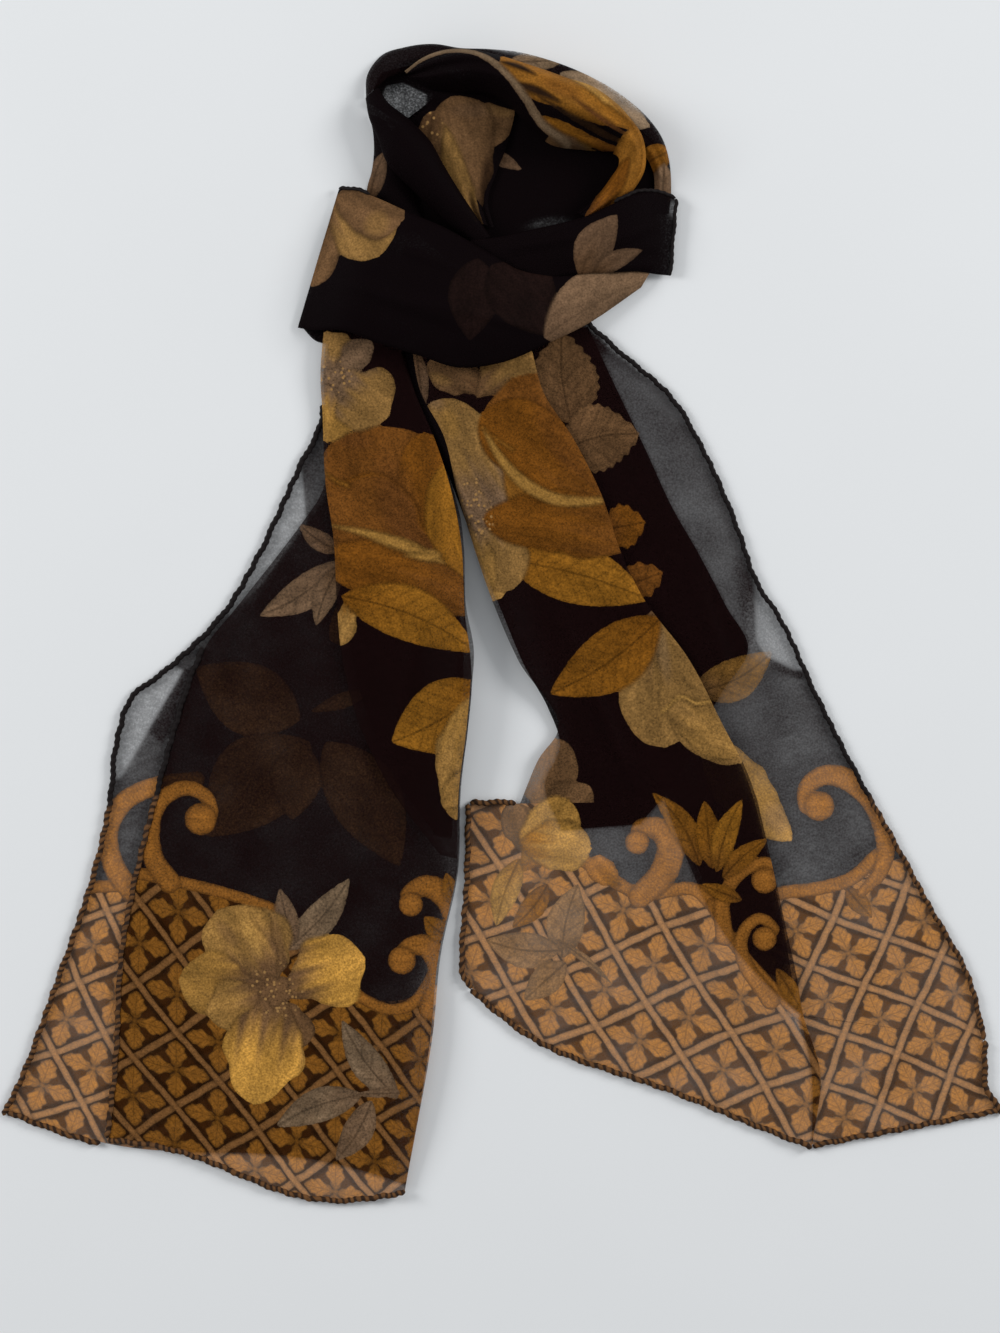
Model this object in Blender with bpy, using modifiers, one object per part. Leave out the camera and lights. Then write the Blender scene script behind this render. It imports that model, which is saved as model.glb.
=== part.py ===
"""A sheer oblong chiffon scarf, doubled and looped through its own fold, lying flat.

Metres, +Z up. The origin is under the middle of the laid scarf, on the surface it rests on; the two tails
run towards -Y and the neck ring is at +Y. Every stretch of cloth that shows is one wall, lofted through a
short table of sections. The plan is set out on a grid of squares, 725 of them to the scarf's width, counted
from the plan's upper left corner.
"""

from typing import NamedTuple

import bmesh
import bpy
import numpy as np

SCARF_WIDTH = 0.330
SQUARES_ACROSS = 725
SQUARE = SCARF_WIDTH / SQUARES_ACROSS
PLAN_CENTRE = (503.8, 624.6)  # the square that stands over the origin

MM = 0.001
WALL = 1.0 * MM
LAYER_STEP = 1.45 * MM  # from one laid layer's underside to the next one's
GAP = 0.45 * MM
HEM_RADIUS = 0.9 * MM
FLAT_REACH = 3.0 * MM  # how far past its edge a layer still carries the one above
FALL_REACH = 30.0 * MM  # where the layer above has come down to the table again
CORE_CLEARANCE = 0.5 * MM
CORE_DEPTH = (0.22, 0.74)  # the part of the band's depth that the core fills, from its upper edge
CORE_LENGTH = (0.2222, 0.6552)  # the part of the band's length that it fills
CORE_ACROSS, CORE_ALONG = 9, 14  # its grid's points
CORE_RIM = 0.55  # the height of its rim, as a share of the room under the band
HEM_BEVEL = 2  # bevel resolution: eight sides

FIELD = (0.020, 0.014, 0.016)
GOLD = (0.400, 0.210, 0.060)
BROWN = (0.180, 0.090, 0.030)
TAUPE = (0.170, 0.120, 0.090)
ROUGHNESS = 0.75


class Laid(NamedTuple):
    """A section of a layer that lies on what is under it: its two ends, in squares."""

    left_x: float
    left_y: float
    right_x: float
    right_y: float


class Raised(NamedTuple):
    """A section of a layer that stands clear: its two ends in squares, their heights and its crown in mm."""

    left_x: float
    left_y: float
    left_z: float
    right_x: float
    right_y: float
    right_z: float
    rise: float


class Waves(NamedTuple):
    """How an end leaves its straight chord, in squares: one, two and three half waves across it."""

    bow: float = 0.0
    sway: float = 0.0
    ripple: float = 0.0


class Stretch(NamedTuple):
    """One stretch of the cloth: its sections, the outline of its last end, its grid and its colour."""

    rows: tuple
    across: int
    along: int
    colour: tuple
    end: Waves = Waves()
    arched: bool = False


class Hem(NamedTuple):
    """A rolled hem along one edge of a stretch, between two shares of that edge."""

    stretch: str
    edge: str
    first: float = 0.0
    last: float = 1.0


# The layers that lie on the table, lowest first. The two tails lie side by side and never on each other.
LEFT_TAIL = {
    "loop_back": Stretch(
        (Laid(341, 198, 301, 326), Laid(347, 202, 318, 342), Laid(350, 206, 338, 343)), 8, 5, FIELD
    ),
    "left_tail_under": Stretch(
        (
            Laid(328, 320, 402, 336),
            Laid(324, 372, 414, 385),
            Laid(323, 421, 436, 440),
            Laid(301, 468, 456, 500),
            Laid(258, 560, 464, 548),
            Laid(222, 618, 466, 605),
            Laid(167, 670, 474, 652),
            Laid(119, 735, 469, 720),
            Laid(107, 805, 461, 790),
            Laid(92, 872, 459, 862),
            Laid(55, 990, 440, 960),
            Laid(30, 1062, 432, 1040),
            Laid(8, 1110, 406, 1184),
        ),
        9,
        27,
        FIELD,
        Waves(bow=5, sway=11),
    ),
    "left_tail_over": Stretch(
        (
            Laid(330, 322, 401, 337),
            Laid(327, 372, 414, 386),
            Laid(327, 430, 436, 444),
            Laid(319, 485, 455, 504),
            Laid(300, 535, 462, 548),
            Laid(267, 583, 464, 595),
            Laid(232, 622, 468, 630),
            Laid(203, 665, 472, 675),
            Laid(178, 722, 468, 730),
            Laid(158, 795, 460, 790),
            Laid(141, 861, 458, 862),
            Laid(123, 955, 438, 960),
            Laid(118, 1050, 430, 1042),
            Laid(109, 1138, 405, 1190),
        ),
        9,
        27,
        FIELD,
        Waves(bow=20, sway=-11),
    ),
    "left_tail_pleat": Stretch(
        (
            Laid(331, 326, 397, 340),
            Laid(329, 416, 428, 436),
            Laid(334, 500, 451, 506),
            Laid(343, 600, 460, 610),
            Laid(352, 655, 464, 662),
            Laid(368, 715, 460, 720),
            Laid(402, 785, 454, 785),
            Laid(436, 836, 452, 838),
        ),
        6,
        16,
        FIELD,
    ),
    "left_tail_panel": Stretch(
        (
            Laid(325, 324, 400, 339),
            Laid(321, 373, 413, 387),
            Laid(323, 416, 435, 440),
            Laid(326, 485, 454, 502),
            Laid(334, 540, 462, 548),
            Laid(337, 600, 465, 612),
            Laid(342, 655, 471, 662),
            Laid(358, 720, 467, 725),
            Laid(392, 790, 459, 790),
            Laid(440, 854, 457, 858),
        ),
        8,
        22,
        BROWN,
    ),
}

RIGHT_TAIL = {
    "right_tail_turned": Stretch(
        (
            Laid(424, 350, 588, 338),
            Laid(436, 410, 617, 390),
            Laid(449, 445, 642, 442),
            Laid(462, 495, 671, 505),
            Laid(482, 560, 700, 556),
            Laid(501, 610, 726, 606),
            Laid(524, 665, 748, 650),
            Laid(548, 708, 704, 672),
            Laid(560, 745, 686, 722),
            Laid(545, 785, 676, 780),
            Laid(562, 830, 640, 824),
        ),
        8,
        22,
        FIELD,
    ),
    "right_tail_back": Stretch(
        (
            Laid(508, 349, 584, 322),
            Laid(514, 385, 622, 356),
            Laid(524, 430, 668, 396),
            Laid(538, 490, 702, 451),
            Laid(556, 560, 738, 534),
            Laid(582, 630, 779, 620),
            Laid(617, 710, 812, 690),
            Laid(656, 780, 850, 765),
            Laid(683, 850, 893, 842),
            Laid(713, 915, 933, 903),
            Laid(758, 975, 971, 980),
            Laid(803, 1016, 985, 1040),
        ),
        8,
        24,
        FIELD,
    ),
    "right_tail_corner": Stretch(
        (Laid(804, 1018, 985, 1042), Laid(822, 1078, 987, 1090), Laid(813, 1145, 1000, 1110)), 7, 7, TAUPE
    ),
    "right_tail_pleat": Stretch(
        (
            Laid(513, 350, 526, 352),
            Laid(528, 430, 558, 432),
            Laid(542, 490, 592, 488),
            Laid(562, 560, 616, 556),
            Laid(590, 635, 662, 636),
            Laid(622, 710, 710, 712),
            Laid(662, 785, 742, 788),
            Laid(690, 850, 764, 858),
            Laid(722, 918, 778, 924),
            Laid(764, 972, 788, 980),
        ),
        5,
        18,
        FIELD,
    ),
    "right_tail_front": Stretch(
        (
            Laid(412, 350, 532, 352),
            Laid(420, 390, 543, 392),
            Laid(444, 437, 572, 437),
            Laid(457, 491, 600, 492),
            Laid(478, 560, 623, 558),
            Laid(492, 600, 643, 598),
            Laid(518, 660, 687, 657),
            Laid(558, 730, 724, 728),
            Laid(538, 760, 745, 768),
            Laid(523, 797, 756, 798),
        ),
        8,
        22,
        GOLD,
    ),
    "right_tail_end": Stretch(
        (
            Laid(470, 804, 757, 800),
            Laid(469, 840, 773, 870),
            Laid(468, 885, 785, 925),
            Laid(465, 925, 796, 975),
            Laid(463, 956, 803, 1016),
            Laid(464, 972, 820, 1072),
            Laid(472, 988, 812, 1145),
        ),
        11,
        18,
        TAUPE,
        Waves(bow=15, sway=7, ripple=3),
    ),
}

# The layers that stand clear of the table. Their sections run from the upper or outer edge to the lower or
# inner one.
RAISED = {
    "ring_floor": Stretch(
        (
            Raised(452, 96, 0, 470, 238, 0, 0),
            Raised(500, 92, 0, 505, 235, 0, 0),
            Raised(545, 104, 0, 550, 228, 0, 0),
            Raised(590, 122, 0, 590, 216, 0, 0),
            Raised(620, 148, 0, 616, 204, 0, 0),
        ),
        7,
        9,
        FIELD,
    ),
    "ring_outer": Stretch(
        (
            Raised(366, 98, 0, 379, 88, 5, 3),
            Raised(367, 76, 0, 388, 80, 5, 4),
            Raised(381, 56, 0, 402, 75, 4, 4),
            Raised(406, 47, 0, 422, 70, 3, 4),
            Raised(434, 44, 0, 446, 66, 2, 3),
            Raised(460, 48, 0, 468, 69, 2, 2.5),
            Raised(488, 49, 0, 494, 74, 2, 2.5),
            Raised(518, 52, 0, 520, 82, 2, 2.5),
            Raised(555, 62, 0, 548, 92, 2, 2.5),
            Raised(589, 76, 0, 578, 103, 2, 2.5),
            Raised(617, 92, 0, 600, 118, 2, 2.5),
            Raised(645, 115, 0, 618, 136, 2, 2.5),
            Raised(662, 138, 0, 640, 150, 2, 2),
            Raised(669, 160, 0, 652, 170, 1.5, 2),
            Raised(671, 194, 0, 654, 196, 1.5, 1.5),
            Raised(669, 214, 0, 652, 214, 1.5, 1),
        ),
        6,
        30,
        TAUPE,
    ),
    "ring_left": Stretch(
        (
            Raised(369, 114, 0, 386, 122, 2, 2),
            Raised(373, 132, 0, 396, 140, 2, 3.5),
            Raised(374, 150, 0, 402, 156, 2, 4),
            Raised(372, 170, 0, 408, 176, 2, 4),
            Raised(367, 190, 0, 415, 200, 2, 4),
            Raised(371, 212, 0, 426, 230, 2, 4),
        ),
        7,
        10,
        FIELD,
    ),
    "ring_inside": Stretch(
        (
            Raised(383, 98, 1.5, 402, 84, 1.5, 0),
            Raised(391, 112, 1.5, 432, 98, 1.5, 1),
            Raised(406, 127, 1.6, 470, 100, 1.6, 2),
            Raised(421, 143, 1.5, 510, 114, 1.5, 3),
            Raised(437, 163, 1.5, 508, 142, 1.5, 3),
            Raised(450, 187, 1.5, 497, 172, 1.5, 2.2),
            Raised(462, 209, 1.5, 488, 204, 1.5, 1.2),
            Raised(472, 222, 1.5, 494, 228, 1.5, 0.8),
        ),
        7,
        14,
        GOLD,
    ),
    "ring_diagonal": Stretch(
        (
            Raised(366, 100, 4, 379, 90, 6, 4),
            Raised(369, 118, 6, 388, 104, 6, 6),
            Raised(378, 140, 7, 408, 120, 6, 7),
            Raised(388, 166, 7.5, 429, 141, 6, 7),
            Raised(415, 194, 5, 444, 167, 6, 7),
            Raised(438, 216, 3, 461, 195, 6, 6),
            Raised(468, 246, 3, 491, 238, 4, 3.5),
        ),
        9,
        16,
        FIELD,
        arched=True,
    ),
    "ring_back": Stretch(
        (
            Raised(405, 74, 7.5, 413, 83, 6, 2),
            Raised(421, 62, 7.5, 431, 91, 3.5, 8),
            Raised(440, 54, 6.5, 456, 94, 2, 14),
            Raised(466, 52, 6, 486, 96, 2, 18),
            Raised(497, 58, 5.5, 510, 108, 2, 21),
            Raised(530, 68, 5.5, 529, 128, 2, 23),
            Raised(565, 80, 5.5, 552, 146, 2, 23),
            Raised(597, 92, 5.5, 584, 151, 2, 21),
            Raised(625, 115, 5.5, 606, 153, 2, 17),
            Raised(643, 142, 5.5, 618, 158, 2, 13),
            Raised(645, 168, 4, 618, 167, 2, 11),
            Raised(634, 190, 2.5, 611, 178, 2, 9.5),
            Raised(612, 208, 2, 598, 195, 2, 8),
            Raised(590, 222, 2, 576, 214, 2, 6.5),
        ),
        9,
        30,
        GOLD,
        arched=True,
    ),
    "cross_band": Stretch(
        (
            Raised(471, 242, 9, 466, 262, 9, 0.3),
            Raised(499, 239, 9.5, 505, 270, 9, 0.5),
            Raised(532, 232, 10.5, 540, 281, 8.5, 1),
            Raised(560, 226, 11.5, 566, 278, 8.5, 2),
            Raised(586, 219, 12, 590, 275, 8.5, 3),
            Raised(612, 207, 12, 615, 274, 7.5, 3),
            Raised(636, 195, 9, 640, 273, 5.5, 3),
            Raised(655, 193, 6, 655, 275, 4, 2),
            Raised(675, 200, 3, 669, 276, 2.5, 0.2),
        ),
        8,
        20,
        FIELD,
    ),
    "front_band": Stretch(
        (
            Raised(339, 190, 2, 298, 328, 2, 0.5),
            Raised(352, 191, 7, 312, 331, 5, 2),
            Raised(373, 199, 11.5, 339, 332, 11, 4),
            Raised(409, 215, 12, 378, 345, 12, 6),
            Raised(446, 231, 12.5, 420, 358, 12.5, 7),
            Raised(490, 256, 12.5, 463, 370, 12.5, 7),
            Raised(518, 272, 12, 504, 364, 12, 6),
            Raised(553, 286, 10, 548, 345, 10, 4),
            Raised(600, 280, 7, 589, 324, 6, 2.5),
            Raised(647, 278, 3, 641, 288, 3, 0.3),
        ),
        10,
        24,
        FIELD,
    ),
}

HEMS = {
    "hem_left_under_side": Hem("left_tail_under", "left", 0.10, 1.0),
    "hem_left_under_end": Hem("left_tail_under", "end", 0.0, 0.24),
    "hem_left_over_side": Hem("left_tail_over", "left", 0.40, 1.0),
    "hem_left_over_end": Hem("left_tail_over", "end", 0.0, 1.0),
    "hem_right_side": Hem("right_tail_back", "right", 0.02, 1.0),
    "hem_right_corner": Hem("right_tail_corner", "right", 0.0, 1.0),
    "hem_right_corner_end": Hem("right_tail_corner", "end", 0.0, 1.0),
    "hem_right_end": Hem("right_tail_end", "end", 0.0, 1.0),
    "hem_right_end_side": Hem("right_tail_end", "left", 0.0, 1.0),
    "hem_right_end_top": Hem("right_tail_end", "start", 0.0, 0.16),
    "hem_front_band": Hem("front_band", "left", 0.0, 0.10),
    "hem_cross_band_top": Hem("cross_band", "left", 0.72, 1.0),
    "hem_cross_band_end": Hem("cross_band", "end", 0.0, 1.0),
}
HEM_COLOUR = (0.012, 0.008, 0.009)

LAID = {**LEFT_TAIL, **RIGHT_TAIL}


def laid_with(name):
    """The tail that a laid layer belongs to."""
    return LEFT_TAIL if name in LEFT_TAIL else RIGHT_TAIL


def right_column(rows):
    """The column of a table of sections that holds the right end's x."""
    return Laid._fields.index("right_x") if isinstance(rows[0], Laid) else Raised._fields.index("right_x")


def through_rows(rows, shares):
    """A table of sections read at shares 0 to 1 of its length, on a smooth curve through its rows, and the
    share at which its last section but one stands."""
    table = np.array(rows, float)
    right = right_column(rows)
    ends = np.stack([table[:, [0, 1]], table[:, [right, right + 1]]])
    steps = np.linalg.norm(np.diff(ends, axis=1), axis=2).mean(axis=0)
    at = np.concatenate([[0.0], np.cumsum(steps)]) / steps.sum()
    slopes = np.gradient(table, at, axis=0)
    index = np.clip(np.searchsorted(at, shares, side="right") - 1, 0, len(at) - 2)
    width = (at[index + 1] - at[index])[:, None]
    t = (np.asarray(shares)[:, None] - at[index][:, None]) / width
    return (
        (2 * t**3 - 3 * t**2 + 1) * table[index]
        + (t**3 - 2 * t**2 + t) * width * slopes[index]
        + (3 * t**2 - 2 * t**3) * table[index + 1]
        + (t**3 - t**2) * width * slopes[index + 1]
    ), at[-2]


def to_plan(x, y):
    """Squares of the plan to metres from the origin."""
    return (x - PLAN_CENTRE[0]) * SQUARE, (PLAN_CENTRE[1] - y) * SQUARE


def plan_grid(stretch, u, v):
    """The stretch's points in plan, in metres, for shares u across and v along, and its rows at v."""
    rows, waves_from = through_rows(stretch.rows, v)
    right = right_column(stretch.rows)
    left_x, left_y = to_plan(rows[:, 0], rows[:, 1])
    right_x, right_y = to_plan(rows[:, right], rows[:, right + 1])
    x = left_x[:, None] * (1 - u) + right_x[:, None] * u
    y = left_y[:, None] * (1 - u) + right_y[:, None] * u
    last = np.array(stretch.rows[-1], float)
    chord = np.array([last[right] - last[0], last[1] - last[right + 1]])
    outward = np.array([chord[1], -chord[0]]) / np.linalg.norm(chord)
    out = SQUARE * sum(size * np.sin((half + 1) * np.pi * u) for half, size in enumerate(stretch.end))
    share = np.clip((v - waves_from) / (1 - waves_from), 0, 1)[:, None]
    out = out * share**2 * (3 - 2 * share)
    return x + outward[0] * out, y + outward[1] * out, rows


def outline(stretch, points=40):
    """The stretch's outline in plan, in metres: down its left edge, along its end and back up its right."""
    v = np.linspace(0, 1, points)
    across = np.linspace(0, 1, points // 2)
    x, y, _ = plan_grid(stretch, across, v)
    return np.concatenate(
        [
            np.stack([x[:, 0], y[:, 0]], 1),
            np.stack([x[-1, 1:], y[-1, 1:]], 1),
            np.stack([x[-2::-1, -1], y[-2::-1, -1]], 1),
        ]
    )


def distance_outside(x, y, corners):
    """How far each point lies outside a closed outline, and zero inside it."""
    a, b = corners, np.roll(corners, -1, axis=0)
    px, py = x.ravel()[:, None], y.ravel()[:, None]
    edge = b - a
    reach = ((px - a[:, 0]) * edge[:, 0] + (py - a[:, 1]) * edge[:, 1]) / np.maximum((edge**2).sum(1), 1e-18)
    reach = np.clip(reach, 0, 1)
    away = np.hypot(px - a[:, 0] - reach * edge[:, 0], py - a[:, 1] - reach * edge[:, 1]).min(axis=1)
    crosses = (a[:, 1] > py) != (b[:, 1] > py)
    drop = np.where(np.abs(edge[:, 1]) < 1e-12, 1e-12, edge[:, 1])
    to_the_left = px < edge[:, 0] * (py - a[:, 1]) / drop + a[:, 0]
    inside = (crosses & to_the_left).sum(axis=1) % 2 == 1
    return np.where(inside, 0.0, away).reshape(x.shape)


def lying_height(name, x, y):
    """The underside of a laid layer: a step up for each layer below it, and down to the table past them."""
    height = np.zeros_like(x)
    for below, stretch in laid_with(name).items():
        if below == name:
            break
        away = distance_outside(x, y, outline(stretch))
        fall = np.clip((away - FLAT_REACH) / (FALL_REACH - FLAT_REACH), 0, 1)
        height += LAYER_STEP * (1 - fall**2 * (3 - 2 * fall))
    return height


def surface(name, u, v):
    """The underside of a stretch, as three arrays of metres, for shares u across and v along."""
    if name in LAID:
        x, y, _ = plan_grid(LAID[name], u, v)
        return x, y, lying_height(name, x, y)
    stretch = RAISED[name]
    turned = (1 - np.cos(np.pi * u)) / 2 if stretch.arched else u
    x, y, rows = plan_grid(stretch, turned, v)
    crown = np.sin(np.pi * u) if stretch.arched else 4 * u * (1 - u)
    z = rows[:, 2:3] * (1 - turned) + rows[:, 5:6] * turned + rows[:, 6:7] * crown
    return x, y, np.maximum(z, 0) * MM


def grid_faces(across, along):
    """The quads of a grid of across by along points, wound so that a grid running down and right faces up."""
    index = np.arange(across * along).reshape(along, across)
    quads = np.stack([index[:-1, :-1], index[1:, :-1], index[1:, 1:], index[:-1, 1:]], axis=-1)
    return quads.reshape(-1, 4)


def faces_up(points, faces):
    """The faces turned so that most of their area looks up."""
    corner = points[faces]
    normal = np.cross(corner[:, 2] - corner[:, 0], corner[:, 3] - corner[:, 1])
    return faces if normal[:, 2].sum() > 0 else faces[:, ::-1]


def material(name, colour):
    made = bpy.data.materials.new(name)
    made.use_nodes = True
    shader = made.node_tree.nodes["Principled BSDF"]
    shader.inputs["Base Color"].default_value = (*colour, 1)
    shader.inputs["Roughness"].default_value = ROUGHNESS
    shader.inputs["Metallic"].default_value = 0.0
    return made


def add_object(name, data, colour, collection):
    made = bpy.data.objects.new(name, data)
    data.materials.append(material(name + "_cloth", colour))
    collection.objects.link(made)
    return made


def add_wall(name, stretch, collection):
    """A stretch as a wall: its underside as a grid, thickened upwards."""
    u = np.linspace(0, 1, stretch.across)
    v = np.linspace(0, 1, stretch.along)
    points = np.stack([part.ravel() for part in surface(name, u, v)], axis=1)
    faces = faces_up(points, grid_faces(stretch.across, stretch.along))
    mesh = bpy.data.meshes.new(name)
    mesh.from_pydata(points.tolist(), [], faces.tolist())
    mesh.shade_smooth()
    wall = add_object(name, mesh, stretch.colour, collection)
    solid = wall.modifiers.new("wall", "SOLIDIFY")
    solid.thickness = WALL
    solid.offset = 1.0
    return wall


def add_core(collection):
    """The hidden layers inside the band: one rounded solid under it, flat on the table."""
    u = np.linspace(*CORE_DEPTH, CORE_ACROSS)
    v = np.linspace(*CORE_LENGTH, CORE_ALONG)
    x, y, z = surface("front_band", u, v)
    rise_across = np.sin(np.linspace(0, np.pi, CORE_ACROSS))
    rise_along = np.sin(np.linspace(0, np.pi, CORE_ALONG))
    shoulder = np.sqrt(np.clip(np.minimum.outer(rise_along, rise_across), 0, 1))
    top = (z - CORE_CLEARANCE) * (CORE_RIM + (1 - CORE_RIM) * shoulder)
    upper = np.stack([x.ravel(), y.ravel(), top.ravel()], axis=1)
    lower = upper * (1, 1, 0)
    faces = faces_up(upper, grid_faces(CORE_ACROSS, CORE_ALONG))
    below = faces[:, ::-1] + len(upper)
    mesh = bpy.data.meshes.new("wrap_core")
    mesh.from_pydata(upper.tolist() + lower.tolist(), [], faces.tolist() + below.tolist())
    shell = bmesh.new()
    shell.from_mesh(mesh)
    bmesh.ops.bridge_loops(shell, edges=[edge for edge in shell.edges if edge.is_boundary])
    bmesh.ops.recalc_face_normals(shell, faces=shell.faces)
    shell.to_mesh(mesh)
    shell.free()
    mesh.shade_smooth()
    return add_object("wrap_core", mesh, FIELD, collection)


def edge_line(hem):
    """A stretch's edge at its own grid points, moved out by the hem's radius and the gap."""
    stretch = {**LAID, **RAISED}[hem.stretch]
    edge_and_middle = np.array([0.0 if hem.edge in ("left", "start") else 1.0, 0.5])
    if hem.edge in ("left", "right"):
        v = shares_between(hem, stretch.along)
        x, y, z = surface(hem.stretch, edge_and_middle, v)
    else:
        u = shares_between(hem, stretch.across)
        x, y, z = (part.T for part in surface(hem.stretch, u, edge_and_middle))
    line = np.stack([x[:, 0], y[:, 0], z[:, 0]], axis=1)
    inside = np.stack([x[:, 1], y[:, 1]], axis=1)
    along = np.gradient(line[:, :2], axis=0)
    outward = np.stack([along[:, 1], -along[:, 0]], axis=1)
    outward /= np.linalg.norm(outward, axis=1, keepdims=True)
    if ((inside - line[:, :2]) * outward).sum() > 0:
        outward = -outward
    line[:, :2] += outward * (HEM_RADIUS + GAP)
    line[:, 2] += HEM_RADIUS
    return line


def shares_between(hem, count):
    """The shares of a grid of count points that the hem covers."""
    grid = np.linspace(0, 1, count)
    return grid[(grid >= hem.first - 1e-9) & (grid <= hem.last + 1e-9)]


def add_hem(name, hem, collection):
    """A rolled hem: a round cord of cloth along its edge."""
    line = edge_line(hem)
    curve = bpy.data.curves.new(name, "CURVE")
    curve.dimensions = "3D"
    curve.bevel_depth = HEM_RADIUS
    curve.bevel_resolution = HEM_BEVEL
    curve.use_fill_caps = True
    spline = curve.splines.new("POLY")
    spline.points.add(len(line) - 1)
    spline.points.foreach_set("co", np.c_[line, np.ones(len(line))].ravel())
    return add_object(name, curve, HEM_COLOUR, collection)


def main():
    for old in list(bpy.data.objects):
        bpy.data.objects.remove(old, do_unlink=True)
    collection = bpy.data.collections.new("chiffon_scarf")
    bpy.context.scene.collection.children.link(collection)
    for name, stretch in {**LAID, **RAISED}.items():
        add_wall(name, stretch, collection)
    add_core(collection)
    for name, hem in HEMS.items():
        add_hem(name, hem, collection)


main()
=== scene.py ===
"""A sheer printed chiffon scarf, doubled and looped through its own fold, laid flat on a pale table.

Metres, +Z up, in the frame of the part's solids. The plan is set out in squares, 725 of them to the scarf's
width, counted from the plan's upper left corner, so folds and motifs are given by their place in the plan.
Each stretch that shows is one thin open sheet on the form of its solid. What is printed on it is worked out
for its own points: how far inside a motif each point lies, and where it lies along and across that motif.
"""

import logging
from dataclasses import dataclass, field
from enum import Enum
from typing import NamedTuple

import bpy
import numpy as np
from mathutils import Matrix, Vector


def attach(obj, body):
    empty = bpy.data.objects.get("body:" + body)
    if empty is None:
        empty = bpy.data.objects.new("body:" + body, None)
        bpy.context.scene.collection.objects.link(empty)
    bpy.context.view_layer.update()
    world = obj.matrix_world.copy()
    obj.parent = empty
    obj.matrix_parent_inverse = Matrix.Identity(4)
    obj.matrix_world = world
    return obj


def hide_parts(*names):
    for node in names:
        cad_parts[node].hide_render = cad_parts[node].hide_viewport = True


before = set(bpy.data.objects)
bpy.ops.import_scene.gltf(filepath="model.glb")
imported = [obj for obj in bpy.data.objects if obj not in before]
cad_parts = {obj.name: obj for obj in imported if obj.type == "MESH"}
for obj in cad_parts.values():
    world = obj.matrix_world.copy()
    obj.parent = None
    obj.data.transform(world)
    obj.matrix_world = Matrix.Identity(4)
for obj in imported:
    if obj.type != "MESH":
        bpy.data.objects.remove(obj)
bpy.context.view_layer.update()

LOG = logging.getLogger("scarf")

Array = np.ndarray
Point = tuple[float, float]
Colour = tuple[float, float, float]
Socket = bpy.types.NodeSocket
Value = Socket | float | tuple | None  # what a shader socket can be fed with

SCARF_WIDTH = 0.330
SQUARES_ACROSS = 725
SQUARE = SCARF_WIDTH / SQUARES_ACROSS
PLAN_CENTRE: Point = (503.8, 624.6)  # the square that stands over the origin
MM = 0.001
SQUARE_MM = SQUARE / MM
WALL = 1.0 * MM
LAYER_STEP = 1.45 * MM
FLAT_REACH = 3.0 * MM
FALL_REACH = 30.0 * MM
TURN_REACH = 1.8 * MM  # how much of the cloth before a folded edge curls down
TURN_DEPTH = 0.9 * MM
LEAST_HEIGHT = 0.3 * MM
PLEAT_DRIFT = 0.9  # how many pleats' width a set of pleats moves across along its stretch
NEXT_DRIFT = 0.4  # how much more each next set moves
LEAST_CUT = 0.3  # the least share of its width times its length that a sheet's area is stated as
HEM_RADIUS = 1.25 * MM
THIN_HEM_RADIUS = 0.85 * MM
STITCH_PITCH = 3.3  # millimetres along a hem from one stitch to the next
GRID_STEP = 1.0 * MM
TINY = 1e-12  # shorter than any length that matters
FAR = 50.0  # millimetres: further from any motif than matters
MARGIN = 4.0  # millimetres: how far past its edge a motif's colour is kept
SOFT_EDGE = 2.0  # millimetres: where one motif lies on another, how far their colours run together
OPEN_WEAVE = 0.055  # how much thinner a single layer looks
LIT_GAIN = 1.33  # how much lighter the table makes a motif on a single layer
LIT_TINT = np.array((0.022, 0.012, 0.005))  # what the table's light adds to a motif on a single layer


class Edge(Enum):
    """The four edges of a stretch."""

    LEFT = "left"
    RIGHT = "right"
    START = "start"
    END = "end"


class Held(Enum):
    """How a sheet is held."""

    LAID = "laid"
    FOLDED = "folded"


class Ink(Enum):
    """The colours of the print, and one colour of painted shade, in linear light."""

    PALE = (0.470, 0.258, 0.066)
    BRIGHT = (0.550, 0.280, 0.052)
    HONEY = (0.315, 0.163, 0.036)
    SAND = (0.310, 0.165, 0.044)
    WHEAT = (0.238, 0.128, 0.038)
    AMBER_LIGHT = (0.228, 0.093, 0.013)
    AMBER = (0.188, 0.073, 0.008)
    ROSE_LIT = (0.160, 0.056, 0.006)
    ROSE = (0.150, 0.054, 0.009)
    ROSE_DEEP = (0.112, 0.040, 0.010)
    LEAF_GOLD = (0.256, 0.106, 0.011)
    LEAF_BROWN = (0.188, 0.072, 0.007)
    LEAF_DEEP = (0.150, 0.054, 0.005)
    OLIVE = (0.132, 0.063, 0.013)
    BRONZE = (0.135, 0.070, 0.030)
    GREY_TAUPE = (0.265, 0.182, 0.112)
    ASH = (0.200, 0.105, 0.042)
    ASH_DEEP = (0.140, 0.072, 0.030)
    TAUPE_LIGHT = (0.165, 0.108, 0.062)
    TAUPE = (0.165, 0.098, 0.054)
    TAUPE_BROWN = (0.125, 0.064, 0.027)
    TAUPE_DEEP = (0.110, 0.062, 0.034)
    TAUPE_DARK = (0.085, 0.042, 0.018)
    HEART = (0.150, 0.078, 0.034)
    GHOST = (0.215, 0.098, 0.036)
    POLLEN = (0.360, 0.200, 0.070)
    EMBER = (0.0095, 0.0042, 0.0034)
    # painted shade: not a colour of the print but the dark of the shadows in the loop's folds
    SHADOW = (0.020, 0.009, 0.004)
    SCROLL = (0.270, 0.105, 0.017)
    SCROLL_DEEP = (0.110, 0.042, 0.008)

    @property
    def rgb(self) -> Array:
        """The colour as an array of three."""
        return np.array(self.value)


# ---------------------------------------------------------------- the plan


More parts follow.
